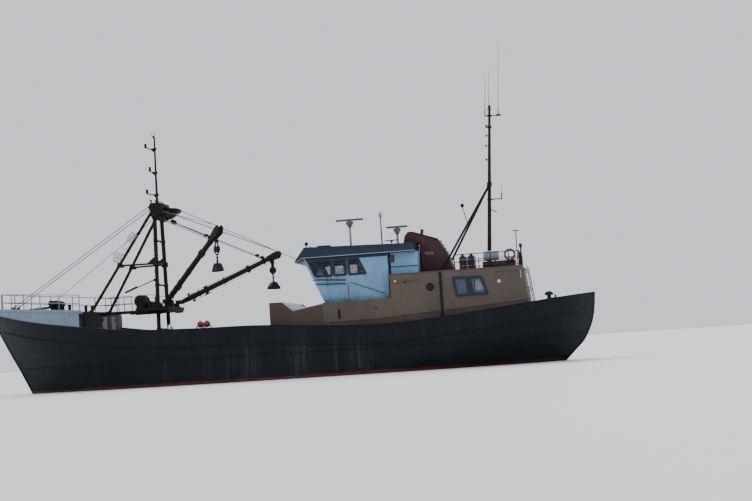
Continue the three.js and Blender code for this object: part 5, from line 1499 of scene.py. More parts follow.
def make_rails():
    stations = [11.8, 13.1, 14.4, 15.6, 16.6, 17.4]
    side = [(x, top_half(x) - 0.23, forecastle_z(x)) for x in stations]
    rail = make_rail(side + [(17.85, 0, forecastle_z(17.85))] + [(x, -y, z) for x, y, z in reversed(side)],
                     0.96)
    rail.make("bow_rail_round", "rail", stands_for=["bow_rail"])

    y = 2.65
    pole_x, lamp_x = -13.09, -13.40
    port = [(x, y, BOAT_DECK_Z) for x in (-9.7, -10.7, -11.7, -12.7, -13.26)]
    aft = [(-13.26, v, BOAT_DECK_Z) for v in (1.35, 0, -1.35)]
    starboard = [(x, -y, BOAT_DECK_Z) for x in (-13.26, -12.7, -11.7, -10.7, -9.7)]
    rail = make_rail(port + aft + starboard, 0.86)
    rail.post(lamp_x, 2.55, BOAT_DECK_Z, 6.48, 0.045, 16)
    rail.lathe([(0.05, 0), (0.12, 0.02), (0.12, 0.05), (0.08, 0.06), (0.08, 0.14), (0.13, 0.15),
                (0.05, 0.2)], (lamp_x, 2.55, 6.42), UP, 20)
    rail.post(pole_x, 0, BOAT_DECK_Z, 7.58, 0.026, 12)
    rail.stringer(pole_x - 0.19, pole_x + 0.19, 0, 7.55, 0.024, 10)
    rail.make("boat_deck_rail_round", "dark", stands_for=["boat_deck_rail"])


make_rails()


# Aft mast
def aft_mast_x(z):
    """X of the raked aft mast at a height."""
    return -11.45 - (z - BOAT_DECK_Z) * 0.07


def make_aft_mast():
    def at(z, dx=0.0, y=0.0):
        return Vector((aft_mast_x(z) + dx, y, z))

    mast = Shape()
    mast.tube([at(BOAT_DECK_Z), at(8.5), at(11.5), at(14.7)], 0.125, 28, end_radius=0.07)
    mast.lathe([(0.22, 0), (0.22, 0.03), (0.15, 0.06), (0.13, 0.2)], at(5.385), (-0.07, 0, 1), 28)
    for side in SIDES:
        mast.rod(at(10.3), (-8.78, side * 1.25, 5.40), 0.062, 20)
        mast.lathe([(0.13, 0), (0.13, 0.02), (0.07, 0.06)], (-8.78, side * 1.25, 5.385), (-0.5, 0, 1), 20)
    mast.lathe(both_ways((0.11, 0.14), (0.145, 0.12)), at(10.3), (-0.07, 0, 1), 28)
    for z, front, back in ((14.25, 0.28, 0.66), (13.6, 0.26, 0.06), (9.43, 0.06, 0.72)):
        mast.rod(at(z, front), at(z, -back), 0.028, 12)
        mast.lathe(both_ways((0.13, 0.05)), at(z), (-0.07, 0, 1), 20)
    for z in (14.0, 12.2):
        mast.rod(at(z, 0, -0.65), at(z, 0, 0.65), 0.028, 12)
        for y in (-0.62, 0.62):
            eye(mast, at(z - 0.06, 0, y), ALONG, 0.03, 0.009)
    mast.rod(at(14.25, -0.38), at(14.25, -0.66), 0.055, 14)
    mast.rod(at(14.62, 0.20), at(14.62, -0.14), 0.02, 10)
    for dx, y, foot, tip, radius in ((-0.50, 0, 14.23, 18.3, 0.018), (0.26, 0, 14.23, 16.6, 0.016),
                                     (0, 0.6, 13.98, 16.8, 0.016), (-0.70, 0, 9.40, 10.2, 0.018)):
        mast.rod(at(foot, dx, y), at(foot + 0.35, dx, y), 0.03, 12)
        mast.rod(at(foot + 0.3, dx, y), at(tip, dx, y), radius, 10, end_radius=0.007)
    for z, reach in ((13.66, 0.19), (13.08, 0.17), (12.5, 0.19), (11.7, 0.17)):
        mast.rod(at(z, reach), at(z, -reach * 0.6), 0.016, 8)
        mast.lathe([(0.03, -0.05), (0.05, -0.03), (0.05, 0.05), (0.02, 0.07)], at(z + 0.03, reach), UP, 16)
    for i in range(21):
        z = 5.9 + i * 0.38
        mast.rod(at(z, 0, -0.24), at(z, 0, 0.24), 0.012, 6)
    mast.lathe([(0.05, 0), (0.08, 0.02), (0.08, 0.14), (0.03, 0.17)], at(14.70), UP, 16)
    post = Vector((-10.42, 0.55, 8.14))
    mast.rod(post, (-10.20, 0.60, 9.1), 0.022, 10)
    mast.lathe([(0.04, -0.04), (0.10, 0), (0.10, 0.14), (0.04, 0.18)], (-10.20, 0.60, 9.08), UP, 16)
    mast.rod(at(8.86, -0.05), at(8.68, -0.42), 0.028, 10)
    mast.make("aft_mast_round", "mast", stands_for=["aft_mast"])


make_aft_mast()


# Wheelhouse windows, rails and trims
HOUSE_FRONT_X, HOUSE_BASE_Z = -2.23, 4.1
HOUSE_RAKE = 0.43
RAIL_Y = 2.375
GUTTER_Y = 2.452
ROOF_Y = 2.43
ROOF_FRONT, ROOF_AFT = (-1.23, 7.27), (-7.47, 7.09)


def front_x(z):
    """X of the raked wheelhouse front at a height."""
    return HOUSE_FRONT_X + (z - HOUSE_BASE_Z) * HOUSE_RAKE


BAND = (5.66, 6.44)
SIDE_LIGHTS = [
    [(front_x(BAND[1]) - 0.26, BAND[1]), (-2.68, BAND[1]), (-2.68, BAND[0]),
     (front_x(BAND[0]) - 0.26, BAND[0])],
    [(-2.92, BAND[1]), (-3.50, BAND[1]), (-3.50, BAND[0]), (-2.92, BAND[0])],
    [(-3.76, BAND[1]), (-4.23, BAND[1]), (-4.57, BAND[0]), (-3.76, BAND[0])],
]
# Double window of the casing, a unit bolted on from outside: its two panes, and the plates round them
DOUBLE_WINDOW = [
    [(-9.67, 4.89), (-10.25, 4.88), (-10.39, 4.07), (-9.81, 4.05)],
    [(-10.52, 4.86), (-11.07, 4.86), (-11.33, 4.06), (-10.66, 4.06)],
]
WINDOW_POST = [(-10.22, 4.98), (-10.55, 4.96), (-10.70, 3.96), (-10.35, 3.96)]
WINDOW_PLATES = [
    ([(-9.78, 5.09), (-11.30, 5.09), (-11.24, 4.90), (-9.76, 4.92)], 2.857),
    ([(-11.10, 5.09), (-11.34, 5.09), (-11.62, 4.08), (-11.36, 4.08)], 2.861),
]
DARK_PANES = [
    [(-9.64, 4.92), (-10.28, 4.91), (-10.42, 4.04), (-9.78, 4.02)],
    [(-10.49, 4.89), (-10.74, 4.89), (-10.74, 4.03), (-10.63, 4.03)],
    [(-10.74, 4.19), (-11.38, 4.19), (-11.38, 4.03), (-10.74, 4.03)],
]


def make_window_frames():
    frames = Shape()
    for side in SIDES:
        for corners in SIDE_LIGHTS:
            window_frame(frames, corners, side * 2.285, side * 2.325, width=0.115, lip=0.02, radius=0.09)
        for corners in DOUBLE_WINDOW:
            window_frame(frames, corners, side * IN_CASING_WALL, side * 2.900, width=0.135, lip=0.01,
                         radius=0.05)
        frames.prism(WINDOW_POST, side * IN_CASING_WALL, side * 2.892)
    tilt = Matrix(((1, 0, HOUSE_RAKE, 0), (0, 1, 0, 0), (0, 0, 1, 0), (0, 0, 0, 1)))
    front = Shape()
    for y in (-1.72, -0.86, 0, 0.86, 1.72):
        corners = [(y - 0.35, BAND[0]), (y + 0.35, BAND[0]), (y + 0.35, BAND[1]), (y - 0.35, BAND[1])]
        window_frame(front, corners, -0.03, 0.035, axis="x", width=0.075, lip=0.02, radius=0.08)
    base = Matrix.Translation((HOUSE_FRONT_X - HOUSE_BASE_Z * HOUSE_RAKE, 0, 0))
    frames.join(front.moved(base @ tilt))
    window_frame(frames, [(-5.53, 5.5), (-5.15, 5.5), (-5.15, 6.05), (-5.53, 6.05)], -2.29, -2.325,
                 width=0.05, lip=0.0, radius=0.06)
    frames.make("window_frames", "navy", smooth=40)

    plates, panes = Shape(), Shape()
    for side in SIDES:
        for corners, face in WINDOW_PLATES:
            plates.prism(corners, side * IN_CASING_WALL, side * face)
        for corners in DARK_PANES:
            panes.prism(corners, side * IN_CASING_WALL, side * 2.868)
    plates.make("casing_window_plates", "ochre", bevel=0.003)
    blinds = Shape()
    for side in SIDES:
        for k in range(17):
            z = 4.16 + k * 0.05
            blinds.prism([(side * 2.745, z), (side * 2.730, z + 0.046), (side * 2.732, z + 0.048),
                          (side * 2.748, z + 0.002)], -11.45, -10.76, "x")
        for x in (-10.90, -11.25):
            blinds.post(x, side * 2.735, 4.13, 5.05, 0.004, 5)
    blinds.make("casing_blinds", "white")
    panes.make("casing_dark_panes", "tinted")

    # navy stripe on each side wall under the roof's edge, above the side lights: painted shadow of the eave
    eave_shadow = Shape()
    for side in SIDES:
        eave_shadow.prism([(-1.30, 6.50), (-5.93, 6.50), (-5.93, 6.655), (-1.235, 6.655)], side * 2.298,
                     side * 2.312)
    eave_shadow.make("eave_shadow_stripe", "navy", bevel=0.003)

    trim = Shape()
    for side in SIDES:
        trim.tube([(-7.49, side * GUTTER_Y, 6.70), (-1.10, side * GUTTER_Y, 6.70),
                   (-0.69, side * GUTTER_Y, 6.47)], 0.018, 8)
    trim.crossbar(-0.69, -GUTTER_Y, GUTTER_Y, 6.47, 0.018, 8)
    trim.crossbar(-7.495, -GUTTER_Y, GUTTER_Y, 6.70, 0.018, 8)
    for side in SIDES:
        # white bars along the winch shelter's top edge and the wheelhouse deck's edge: white trim paint
        # that also serves as a painted highlight of that sky-lit edge
        for a, b, size in (((0.12, 4.29), (-0.50, 3.76), 0.035), ((-0.50, 3.76), (-2.18, 4.035), 0.022)):
            trim.sweep([(-size, -size), (size, -size), (size, size), (-size, size)],
                       [(a[0], side * 2.83, a[1] + 0.02), (b[0], side * 2.83, b[1] + 0.02)])
        trim.box(-13.34, -13.29, side * 2.853, side * 2.868, 4.72, 5.14)
    trim.make("pale_trim_and_highlight", "white", smooth=40)

    hand = Shape()
    for side in SIDES:
        y = side * RAIL_Y
        for z_front, z_aft in ((5.43, 5.31), (5.17, 5.10)):
            x = front_x(z_front)
            hand.tube([(x - 0.10, side * 2.30, z_front), (x - 0.14, y, z_front), (-3.46, y, z_aft),
                       (-3.50, side * 2.30, z_aft)], 0.030, 10)
            for k in range(1, 3):
                share = k / 3
                here = Vector((x - 0.14, y, z_front)).lerp(Vector((-3.46, y, z_aft)), share)
                hand.rod(here, (here.x, side * 2.29, here.z), 0.018, 8)
        if side > 0:  # the wheelhouse door is on the other side
            hand.tube([(-3.78, 2.30, 5.16), (-3.82, y, 5.14), (-5.62, y, 4.44), (-5.66, 2.30, 4.42)], 0.016,
                      8)
            hand.crossbar(-4.72, y, 2.29, 4.79, 0.012, 6)
    for z in (5.43, 5.17):
        x = front_x(z) + 0.075
        hand.tube([(x - 0.08, -2.12, z), (x, -2.08, z), (x, 2.08, z), (x - 0.08, 2.12, z)], 0.030, 10)
        for y in (-1.2, -0.4, 0.4, 1.2):
            hand.stringer(x, x - 0.08, y, z, 0.018, 8)
    hand.make("house_handrails", "dark")


make_window_frames()


def make_roof_gear():
    gear = Shape()
    for y in (1.90, -1.90):
        gear.post(-1.30, y, 7.22, 7.45, 0.028, 12)
        gear.lathe([(0.05, -0.10), (0.085, -0.07), (0.095, 0.0), (0.095, 0.07), (0.085, 0.09)],
                   (-1.30, y, 7.53), (1, 0, 0.1), 24)
    gear.box(-2.55, -1.95, 1.2, 1.8, 7.20, 7.36)
    gear.box(-2.60, -1.90, 1.15, 1.85, 7.34, 7.38)
    gear.lathe([(0.035, 0), (0.05, 0.3), (0.07, 0.42), (0.13, 0.52)], (-1.75, 0.55, 7.36), ALONG, 20)
    gear.post(-1.60, 0.55, 7.24, 7.36, 0.02, 8)
    gear.post(-6.05, 0.9, 7.13, 7.42, 0.022, 10)
    gear.stringer(-6.42, -5.68, 0.9, 7.45, 0.030, 12)
    gear.ball((-6.05, 0.9, 7.40), 0.08)
    gear.make("roof_gear", "dark", bevel=0.004)
    posts = Shape()
    for name, x, top, length in SCANNERS:
        posts.post(x, 0, 7.12, top - 0.41, 0.064, 20)
        posts.lathe([(0.13, 0), (0.13, 0.02), (0.07, 0.05)], (x, 0, 7.17), UP, 20)
    posts.post(-5.38, 0, 7.1, 9.22, 0.036, 14, end_radius=0.028)
    posts.lathe([(0.05, 8.87), (0.09, 8.90), (0.09, 9.10), (0.05, 9.16)], (-5.38, 0, 0), UP, 20)
    posts.make("roof_posts", "post")

    edge = Shape()
    for side in SIDES:
        edge.rod((ROOF_FRONT[0], side * ROOF_Y, ROOF_FRONT[1]), (ROOF_AFT[0], side * ROOF_Y, ROOF_AFT[1]),
                 0.03, 10)
    for x, z in (ROOF_FRONT, ROOF_AFT):
        edge.crossbar(x, -ROOF_Y, ROOF_Y, z, 0.03, 10)
    edge.make("roof_edge", "navy")

    for name, x, top, length in SCANNERS:
        scanner = Shape()
        profile = rounded_outline([(-0.085, -0.05), (0.055, -0.055), (0.09, 0.0), (0.055, 0.065),
                                   (-0.085, 0.06)], 0.03, 3)
        half = length / 2
        scanner.rings([[(x + along_x, u * k, top + v * k) for u, v in profile]
                       for along_x, k in ((-half, 0.75), (-half + 0.03, 1.0), (half - 0.03, 1.0),
                                          (half, 0.75))])
        scanner.lathe([(0.09, -0.09), (0.09, -0.05), (0.06, -0.03)], (x, 0, top), UP, 24)
        scanner.make("radar_scanner_round_" + name, "radar", body="radar_scanner_" + name,
                     stands_for=["radar_scanner_" + name])
        unit = Shape()
        unit.plate([(x - 0.09, top - 0.39), (x + 0.09, top - 0.39), (x + 0.205, top - 0.20),
                    (x + 0.205, top - 0.10), (x - 0.205, top - 0.10), (x - 0.205, top - 0.20)], 0.03, 3,
                   -0.145, 0.145)
        unit.lathe([(0.12, 0), (0.12, 0.02), (0.07, 0.05)], (x, 0, top - 0.43), UP, 24)
        unit.make("radar_unit_" + name, "radar", bevel=0.012)


make_roof_gear()


# Deckhouse side: pipe trunk, lamps, port ring, vents
def make_casing_gear():
    trunk = Shape()
    for side in SIDES:
        y = side * 2.91
        trunk.post(-8.88, y, 2.75, 5.34, 0.065, 16)
        for z in (3.05, 3.9, 4.7, 5.25):
            trunk.box(-8.98, -8.78, side * CASING_Y, side * 2.93, z - 0.02, z + 0.02)
        trunk.box(-3.16, -3.04, side * CASING_Y, side * 2.885, 3.16, 3.66)
        for z in (3.24, 3.34, 3.44, 3.54):
            trunk.box(-3.15, -3.05, side * 2.88, side * 2.90, z, z + 0.03)
        trunk.lathe([(0.165, 0.0), (0.215, 0.0), (0.215, 0.03), (0.19, 0.045), (0.165, 0.03)],
                    (-8.28, side * CASING_Y, 4.56), (0, side, 0), 32)
        trunk.lathe([(0.16, -0.04), (0.16, -0.03)], (-8.28, side * CASING_Y, 4.56), (0, side, 0), 32)
        for x, z in ((-6.9, 4.9), (-5.2, 3.6)):
            trunk.lathe([(0.05, 0), (0.05, 0.03), (0.03, 0.05)], (x, side * CASING_Y, z), (0, side, 0), 12)
    trunk.make("casing_fittings", "dark", bevel=0.004)

    lamps = Shape()
    for side in SIDES:
        for x, z, r in ((-12.1, 4.61, 0.10), (-6.35, 5.0, 0.07)):
            lamps.lathe([(r, 0), (r, 0.03), (r * 0.8, 0.04), (r * 0.78, 0.09), (r * 0.5, 0.14),
                         (r * 0.1, 0.155)], (x, side * CASING_Y, z), (0, side, 0), 24)
            for k in range(3):
                angle = math.pi / 3 * k
                lamps.ring((x, side * 2.86, z), (math.cos(angle), 0, math.sin(angle)), r, 0.006, 20, 5)
    lamps.make("bulkhead_lamps", "lamp")

    rail = Shape()
    for side in SIDES:
        for front, back, z in ((-6.2, -7.64, 4.98), (-11.9, -13.14, 5.15)):
            rail.tube([(front, side * CASING_Y, z), (front - 0.04, side * 2.92, z),
                       (back + 0.04, side * 2.92, z), (back, side * CASING_Y, z)], 0.016, 8)
    rail.make("casing_handrails", "ochre")

    coaming = Shape()
    section = rounded_outline([(-0.05, -0.04), (0.05, -0.04), (0.05, 0.045), (-0.05, 0.045)], 0.02, 2)
    for side in SIDES:
        coaming.sweep(section, [(-6.08, side * 2.80, 5.385), (-13.44, side * 2.80, 5.385)])
    coaming.sweep(section, [(-13.39, -2.82, 5.385), (-13.39, 2.82, 5.385)])
    coaming.make("boat_deck_edge", "ochre")

    aft = Shape()
    for side in SIDES:
        ladder(aft, (-13.98, side * 1.6, 2.55), (-13.62, side * 1.6, 5.42), ACROSS, 0.38, 0.02, 0.3)
        for z in (3.0, 4.2, 5.2):
            x = -13.42 - (BOAT_DECK_Z - z) * 0.1277
            for v in (-0.17, 0.17):
                aft.stringer(x - 0.19, x + 0.02, side * 1.6 + v, z, 0.014, 6)
    aft.make("casing_aft_ladders", "dark")


make_casing_gear()


# Wheelhouse interior: wheel, instruments and levers on the console
def make_helm():
    wheel = Shape()
    hub = Vector((-3.08, 0, 5.02))
    wheel.ring(hub, ALONG, 0.30, 0.018, 40, 10)
    for dy, dz in circle(0.30, 6):
        wheel.rod(hub, hub + Vector((0, dy, dz)), 0.012, 8)
    wheel.lathe([(0.06, -0.03), (0.06, 0.03), (0.03, 0.05)], hub, (-1, 0, 0), 20)
    wheel.rod(hub, (-2.92, 0, 5.02), 0.03, 12)
    for y in (-0.55, 0.55):
        wheel.rod((-2.75, y, 5.15), (-2.83, y, 5.37), 0.012, 8)
        wheel.ball((-2.83, y, 5.385), 0.028, sides=12)
    wheel.make("helm_wheel", "dark")
    cabinets, screens = Shape(), Shape()
    for y, half, high in ((-1.25, 0.24, 0.36), (-0.62, 0.20, 0.30), (0.62, 0.20, 0.30), (1.25, 0.24, 0.36)):
        z = 5.22
        cabinets.plate([(-2.62, z), (-2.28, z + 0.05), (-2.30, z + high), (-2.58, z + high)], 0.03, 3,
                       y - half, y + half)
        screens.prism([(-2.627, z + 0.05), (-2.615, z + 0.05), (-2.585, z + high - 0.05),
                       (-2.597, z + high - 0.05)], y - half + 0.04, y + half - 0.04)
    cabinets.make("helm_instruments", "console")
    screens.make("helm_screens", "screen")


make_helm()


# Annex, funnel and boat deck gear
BOTTLE_Y = 2.35
RAFT_Y, RAFT_Z = 2.15, 6.08
AFT_VENT = (-14.75, 2.0, 0)


def make_upper_gear():
    annex = Shape()
    for side in SIDES:
        window_frame(annex, [(-5.99, 6.16), (-6.26, 6.16), (-6.26, 6.50), (-5.99, 6.50)], side * 1.99,
                     side * 2.03, width=0.03, lip=0.02, radius=0.05)
        annex.box(-7.60, -6.0, side * 2.0, side * 2.035, 5.84, 5.885)
    annex.make("annex_frames", "navy", smooth=40)
    panes = Shape()
    for side in SIDES:
        panes.box(-6.25, -6.0, side * 2.001, side * 2.006, 6.17, 6.49)
    panes.make("annex_panes", "console")

    stack = Shape()
    for side in SIDES:
        y = side * 0.885
        outline = [(-8.42, 6.44), (-7.92, 6.48), (-7.92, 6.66), (-8.42, 6.62)]
        stack.plate(outline, 0.03, 2, y, y + side * 0.015)
        for k in range(4):
            z = 6.48 + k * 0.04
            stack.box(-8.40, -7.94, y + side * 0.012, y + side * 0.03, z, z + 0.014)
    stack.make("funnel_louvres", "door")
    rim = Shape()
    for side in SIDES:
        rim.tube([(-6.98, side * 0.875, 7.83), (-7.28, side * 0.875, 7.835), (-8.72, side * 0.875, 7.33)],
                 0.028, 8)
    rim.crossbar(-7.28, -0.87, 0.87, 7.84, 0.025, 8)
    rim.lathe([(0.095, 0), (0.105, 0.02), (0.105, 0.06), (0.075, 0.06), (0.075, 0.02)], (-7.745, 0, 7.96),
              (-0.21, 0, 1), 24)
    for count, x0, x1, z0, z1, rise in ((6, -9.56, -9.20, 5.4, 6.48, 0),
                                        (4, -9.20, -8.72, 6.48, 7.33, 0.05)):
        for i in range(count):
            share = (i + 0.5) / count
            x, z = x0 + (x1 - x0) * share, z0 + (z1 - z0) * share
            rim.tube([(x + 0.02, -0.17, z), (x - 0.10, -0.17, z + rise), (x - 0.10, 0.17, z + rise),
                      (x + 0.02, 0.17, z)], 0.012, 6)
    rim.make("funnel_trim", "dark")

    bottles = Shape()
    for x in (-10.15, -10.62):
        bottles.lathe([(0.14, 0), (0.165, 0.02), (0.175, 0.06), (0.175, 0.66), (0.168, 0.72), (0.14, 0.77),
                       (0.09, 0.81), (0.055, 0.83)], (x, BOTTLE_Y, 5.381), UP, 32)
        bottles.ring((x, BOTTLE_Y, 6.23), UP, 0.085, 0.012, 20, 6)
        for dx, dy in circle(0.085, 3):
            bottles.post(x + dx, BOTTLE_Y + dy, 6.16, 6.24, 0.008, 6)
        bottles.lathe([(0.03, 0), (0.03, 0.07), (0.045, 0.08), (0.045, 0.09)], (x, BOTTLE_Y, 6.20), UP, 12)
    bottles.make("gas_bottles_round", "maroon", stands_for=["gas_bottles"])
    rack = Shape()
    rack.box(-10.86, -9.92, 2.16, 2.19, 5.42, 6.12)
    for z in (5.60, 5.95):
        rack.tube([(-9.94, 2.19, z), (-9.94, 2.53, z), (-10.83, 2.53, z), (-10.83, 2.19, z)], 0.012, 6)
    rack.make("bottle_rack", "white", bevel=0.004)

    raft = Shape()
    profile = [(0.20, -0.43), (0.235, -0.42), (0.265, -0.38), (0.272, -0.2), (0.275, -0.02),
               (0.285, -0.015),
               (0.285, 0.015), (0.275, 0.02), (0.272, 0.2), (0.265, 0.38), (0.235, 0.42), (0.20, 0.43)]
    raft.lathe(profile, (-11.73, RAFT_Y, RAFT_Z), ALONG, 40)
    raft.make("raft_canister_round", "raft", stands_for=["raft_canister"])
    cradle = Shape()
    for x in (-11.95, -11.51):
        arc = [(RAFT_Y + 0.285 * math.cos(a), RAFT_Z + 0.285 * math.sin(a))
               for a in [math.pi + math.pi * k / 16 for k in range(17)]]
        cradle.prism(arc + [(2.40, 5.765), (1.90, 5.765)], x - 0.035, x + 0.035, "x")
        cradle.ring((x, RAFT_Y, RAFT_Z), ALONG, 0.278, 0.012, 40, 6)
    cradle.make("raft_cradle", "steel")

    buoy = Shape()
    buoy.ring((LIFEBUOY[0], 2.715, LIFEBUOY[1]), ACROSS, 0.27, 0.062, 40, 14)
    buoy.make("lifebuoy", "lifebuoy")
    hook = Shape()
    hook.crossbar(LIFEBUOY[0], 2.62, 2.72, 6.24, 0.014, 8)
    hook.box(-12.95, -12.61, 2.64, 2.66, 5.86, 5.90)
    hook.make("lifebuoy_hook", "rail")

    vents = Shape()
    for x, y in ((-9.95, -1.7), (-12.6, -1.9)):
        vents.post(x, y, 5.36, 5.90, 0.12, 24)
        vents.lathe([(0.12, 0), (0.24, 0.02), (0.24, 0.07), (0.18, 0.14), (0.06, 0.18)], (x, y, 5.90), UP,
                    28)
    vents.lathe([(0.11, 2.486), (0.11, 3.70)], AFT_VENT, UP, 28)
    vents.lathe([(0.16, 2.486), (0.16, 2.52), (0.115, 2.56)], AFT_VENT, UP, 28)
    vents.lathe([(0.11, 3.68), (0.24, 3.70), (0.24, 3.77), (0.19, 3.84), (0.12, 3.89), (0.02, 3.905)],
                AFT_VENT, UP, 32)
    vents.make("mushroom_vents", "dark", stands_for=["mushroom_vent"], bevel=0.004)

    bitts = Shape()
    bitts.box(-15.80, -14.95, -0.19, 0.19, 2.48, 2.83)
    for x in (-15.58, -15.17):
        bitts.lathe([(0.115, 2.80), (0.105, 2.86), (0.105, 3.12), (0.125, 3.16), (0.125, 3.19),
                     (0.10, 3.20)], (x, 0, 0), UP, 32)
    bitts.stringer(-15.78, -14.97, 0, 3.05, 0.04, 16)
    bitts.make("stern_bollards_round", "dark", stands_for=["stern_bollards"], bevel=0.008)


make_upper_gear()


# Marker buoys in their rack, and fenders inside the bulwark
def make_deck_gear():
    rack, buoys = Shape(), Shape()
    y, x0, x1, top = 3.0, 4.25, 5.05, 3.24
    foot = deck_z(4.6) - 0.02
    for x in (x0, x1):
        for dy in (-0.16, 0.16):
            rack.post(x, y + dy, foot, top, 0.022, 10)
        rack.crossbar(x, y - 0.16, y + 0.16, top, 0.02, 10)
    for dy in (-0.16, 0.16):
        rack.stringer(x0, x1, y + dy, top, 0.02, 10)
        rack.stringer(x0, x1, y + dy, foot + 0.35, 0.016, 8)
    for x in (x0 + 0.21, x1 - 0.21):
        rack.ring((x, y, top), UP, 0.148, 0.014, 28, 8)
        buoys.ball((x, y, top + 0.125), 0.19, 1.0, 32)
        buoys.lathe([(0.06, 0.17), (0.06, 0.195), (0.045, 0.205)], (x, y, top + 0.11), UP, 16)
        eye(buoys, (x, y, top + 0.325), ACROSS, 0.025, 0.010)
    rack.make("buoy_rack", "dark")
    buoys.make("marker_buoys", "buoy")
    fenders, hooks = Shape(), Shape()
    for side in SIDES:
        x = 6.45
        y, z = side * (top_half(x) - 0.34), sheer(x) + 0.10
        fenders.ball((x, y, z), 0.17, 1.08, 32)
        fenders.lathe([(0.05, 0.17), (0.05, 0.22), (0.03, 0.24)], (x, y, z), UP, 16)
        hooks.ring((x, y, z - 0.10), UP, 0.142, 0.014, 28, 8)
        hooks.crossbar(x, y + side * 0.14, side * (top_half(x) - 0.08), z - 0.10, 0.018, 8)
    fenders.make("bulwark_fenders", "fender")
    hooks.make("fender_hooks", "dark")

    # mooring bitts, roller chocks on the rail cap and flush manholes
    bitts = Shape()
    for x, y in ((9.9, 2.75), (-14.0, 2.35)):
        for side in SIDES:
            foot = deck_z(x)
            bitts.box(x - 0.36, x + 0.36, side * y - 0.15, side * y + 0.15, foot - 0.02, foot + 0.05)
            for dx in (-0.2, 0.2):
                bitts.lathe([(0.10, 0.04), (0.09, 0.08), (0.09, 0.42), (0.115, 0.46), (0.115, 0.50),
                             (0.05, 0.52)], (x + dx, side * y, foot), UP, 28)
    x = -14.9
    for side in SIDES:
        y, z = side * (top_half(x) - 0.06), sheer(x) + 0.03
        bitts.box(x - 0.28, x + 0.28, y - 0.07, y + 0.07, z, z + 0.03)
        for dx in (-0.2, 0.2):
            bitts.lathe([(0.065, 0.02), (0.045, 0.05), (0.045, 0.15), (0.065, 0.18), (0.03, 0.19)],
                        (x + dx, y, z), UP, 20)
    for x, y in ((6.6, 1.2), (6.6, -1.2), (2.2, 2.0), (2.2, -2.0)):
        bitts.lathe([(0.24, 0), (0.24, 0.02), (0.22, 0.026)], (x, y, deck_z(x)), UP, 32)
        for dx, dy in circle(0.19, 8):
            bitts.lathe([(0.018, 0.02), (0.018, 0.036)], (x + dx, y + dy, deck_z(x)), UP, 6)
    bitts.make("deck_bitts", "dark", bevel=0.005)


make_deck_gear()


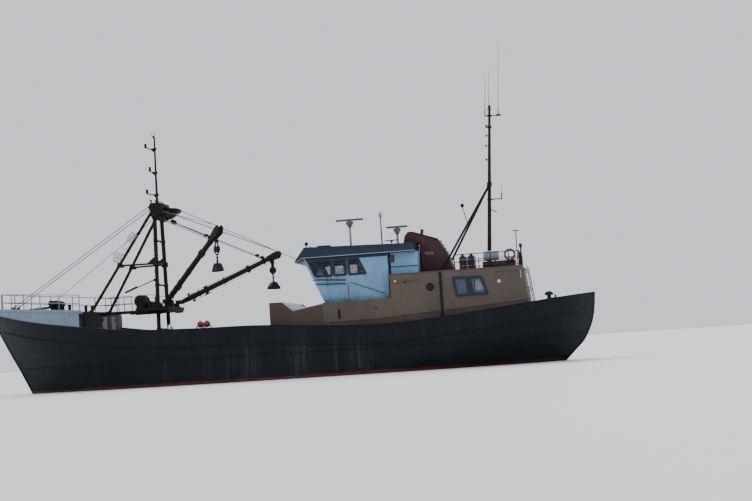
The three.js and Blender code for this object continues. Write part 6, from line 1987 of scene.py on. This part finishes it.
# Winches and windlass
def make_winches():
    wheel = Shape()
    for side in SIDES:
        for y in (0.145, 1.855):
            wheel.lathe([(0.12, y - 0.022), (0.50, y - 0.018), (0.52, y - 0.01), (0.52, y + 0.01),
                         (0.50, y + 0.018), (0.12, y + 0.022)], WINCH, (0, side, 0), 44)
        wheel.lathe([(0.13, 2.14), (0.19, 2.145), (0.19, 2.17), (0.125, 2.22), (0.12, 2.30), (0.135, 2.38),
                     (0.19, 2.42), (0.19, 2.44), (0.08, 2.445)], WINCH, (0, side, 0), 36)
        wheel.crossbar(WINCH[0], side * 0.06, side * 1.945, WINCH[2], 0.11, 24)
    wheel.crossbar(WINCH[0], -2.44, 2.44, WINCH[2], 0.0725, 24)
    wheel.make("winch_wheels", "dark", body="winch_drum", stands_for=["winch_drum"])
    wind(WINCH[0], WINCH[2], 0.175, 1.825, 0.12, 0.38, 0.014, "winch_warp_port", "wire", "winch_drum")
    wind(WINCH[0], WINCH[2], -1.825, -0.175, 0.12, 0.36, 0.014, "winch_warp_starboard", "wire",
         "winch_drum")

    lass = Shape()
    x, z = 14.40, 5.23
    lass.box(x - 0.42, x + 0.42, -0.62, 0.62, forecastle_z(x) - 0.03, 4.86)
    for y in (-0.4, 0, 0.4):
        lass.plate([(x - 0.22, 4.84), (x + 0.22, 4.84), (x + 0.13, 5.42), (x - 0.13, 5.42)], 0.06, 3,
                   y - 0.045, y + 0.045)
    lass.crossbar(x, -0.96, 0.96, z, 0.052, 20)
    for side in SIDES:
        lass.lathe([(0.15, 0.055), (0.185, 0.06), (0.185, 0.09), (0.13, 0.11), (0.12, 0.2), (0.13, 0.29),
                    (0.185, 0.31), (0.185, 0.34), (0.15, 0.345)], (x, 0, z), (0, side, 0), 32)
        lass.lathe([(0.12, 0.46), (0.19, 0.465), (0.19, 0.50), (0.13, 0.54), (0.115, 0.68), (0.13, 0.82),
                    (0.19, 0.87), (0.19, 0.905), (0.06, 0.91)], (x, 0, z), (0, side, 0), 32)
    lass.rod((x + 0.30, 0.2, 4.84), (x + 0.34, 0.2, 5.36), 0.022, 10)
    lass.ball((x + 0.34, 0.2, 5.38), 0.045)
    lass.make("windlass_round", "dark", stands_for=["windlass"], bevel=0.008)
    cable = Shape()
    for side in SIDES:
        chain(cable, (x + 0.10, side * 0.2, 5.09), (15.9, side * 0.55, forecastle_z(15.9) + 0.10), 0.022,
              0.13)
        cable.lathe([(0.16, -0.05), (0.18, 0.0), (0.17, 0.06), (0.12, 0.09), (0.10, 0.05)],
                    (15.95, side * 0.56, forecastle_z(15.95) + 0.02), UP, 24)
    cable.make("anchor_chain", "dark")
    bitts = Shape()
    for side in SIDES:
        for x in (12.9, 13.3):
            spot = (x, side * 1.9, forecastle_z(x))
            bitts.lathe([(0.10, 0), (0.09, 0.05), (0.09, 0.34), (0.115, 0.38), (0.115, 0.42), (0.05, 0.44)],
                        spot, UP, 28)
        bitts.box(12.75, 13.45, side * 1.9 - 0.14, side * 1.9 + 0.14, forecastle_z(12.75) - 0.02,
                  forecastle_z(13.45) + 0.02)
    bitts.crossbar(17.0, -0.35, 0.35, forecastle_z(17.0) + 0.12, 0.06, 20)
    for y in (-0.4, 0.4):
        bitts.box(16.88, 17.12, y - 0.03, y + 0.03, forecastle_z(17) - 0.02, forecastle_z(17) + 0.2)
    bitts.make("bow_bitts", "dark", bevel=0.006)


make_winches()


# Stage: a pale floor at the waterline, soft studio light and a plain backdrop
def make_stage():
    floor_mesh = bpy.data.meshes.new("floor")
    sketch = bmesh.new()
    bmesh.ops.create_circle(sketch, cap_ends=True, radius=1500, segments=96)
    sketch.to_mesh(floor_mesh)
    sketch.free()
    floor = bpy.data.objects.new("floor", floor_mesh)
    bpy.context.scene.collection.objects.link(floor)
    n = Nodes("floor_pale")
    pale = n.mix(n.noise(0.05, 2), (0.70, 0.72, 0.74), (0.76, 0.77, 0.78))
    floor_mesh.materials.append(n.finish(Base_Color=pale, Roughness=0.6))
    world = bpy.data.worlds.new("studio")
    world.use_nodes = True
    background = world.node_tree.nodes["Background"]
    background.inputs["Color"].default_value = (0.90, 0.93, 1.0, 1)
    background.inputs["Strength"].default_value = 1.0
    bpy.context.scene.world = world
    for name, toward, strength, softness in [
        # a lamp, the way its light travels, its strength and its angle in degrees
        ("key", (-0.55, 0.45, -0.80), 1.6, 20),
        ("fill", (0.35, -0.80, -0.45), 0.35, 60),
        ("rim", (0.10, 0.85, -0.60), 0.8, 35),
    ]:
        lamp = bpy.data.lights.new(name, "SUN")
        lamp.energy = strength
        lamp.angle = math.radians(softness)
        lamp_object = bpy.data.objects.new(name, lamp)
        lamp_object.rotation_mode = "QUATERNION"
        lamp_object.rotation_quaternion = Vector(toward).to_track_quat("-Z", "Y")
        bpy.context.scene.collection.objects.link(lamp_object)


make_stage()
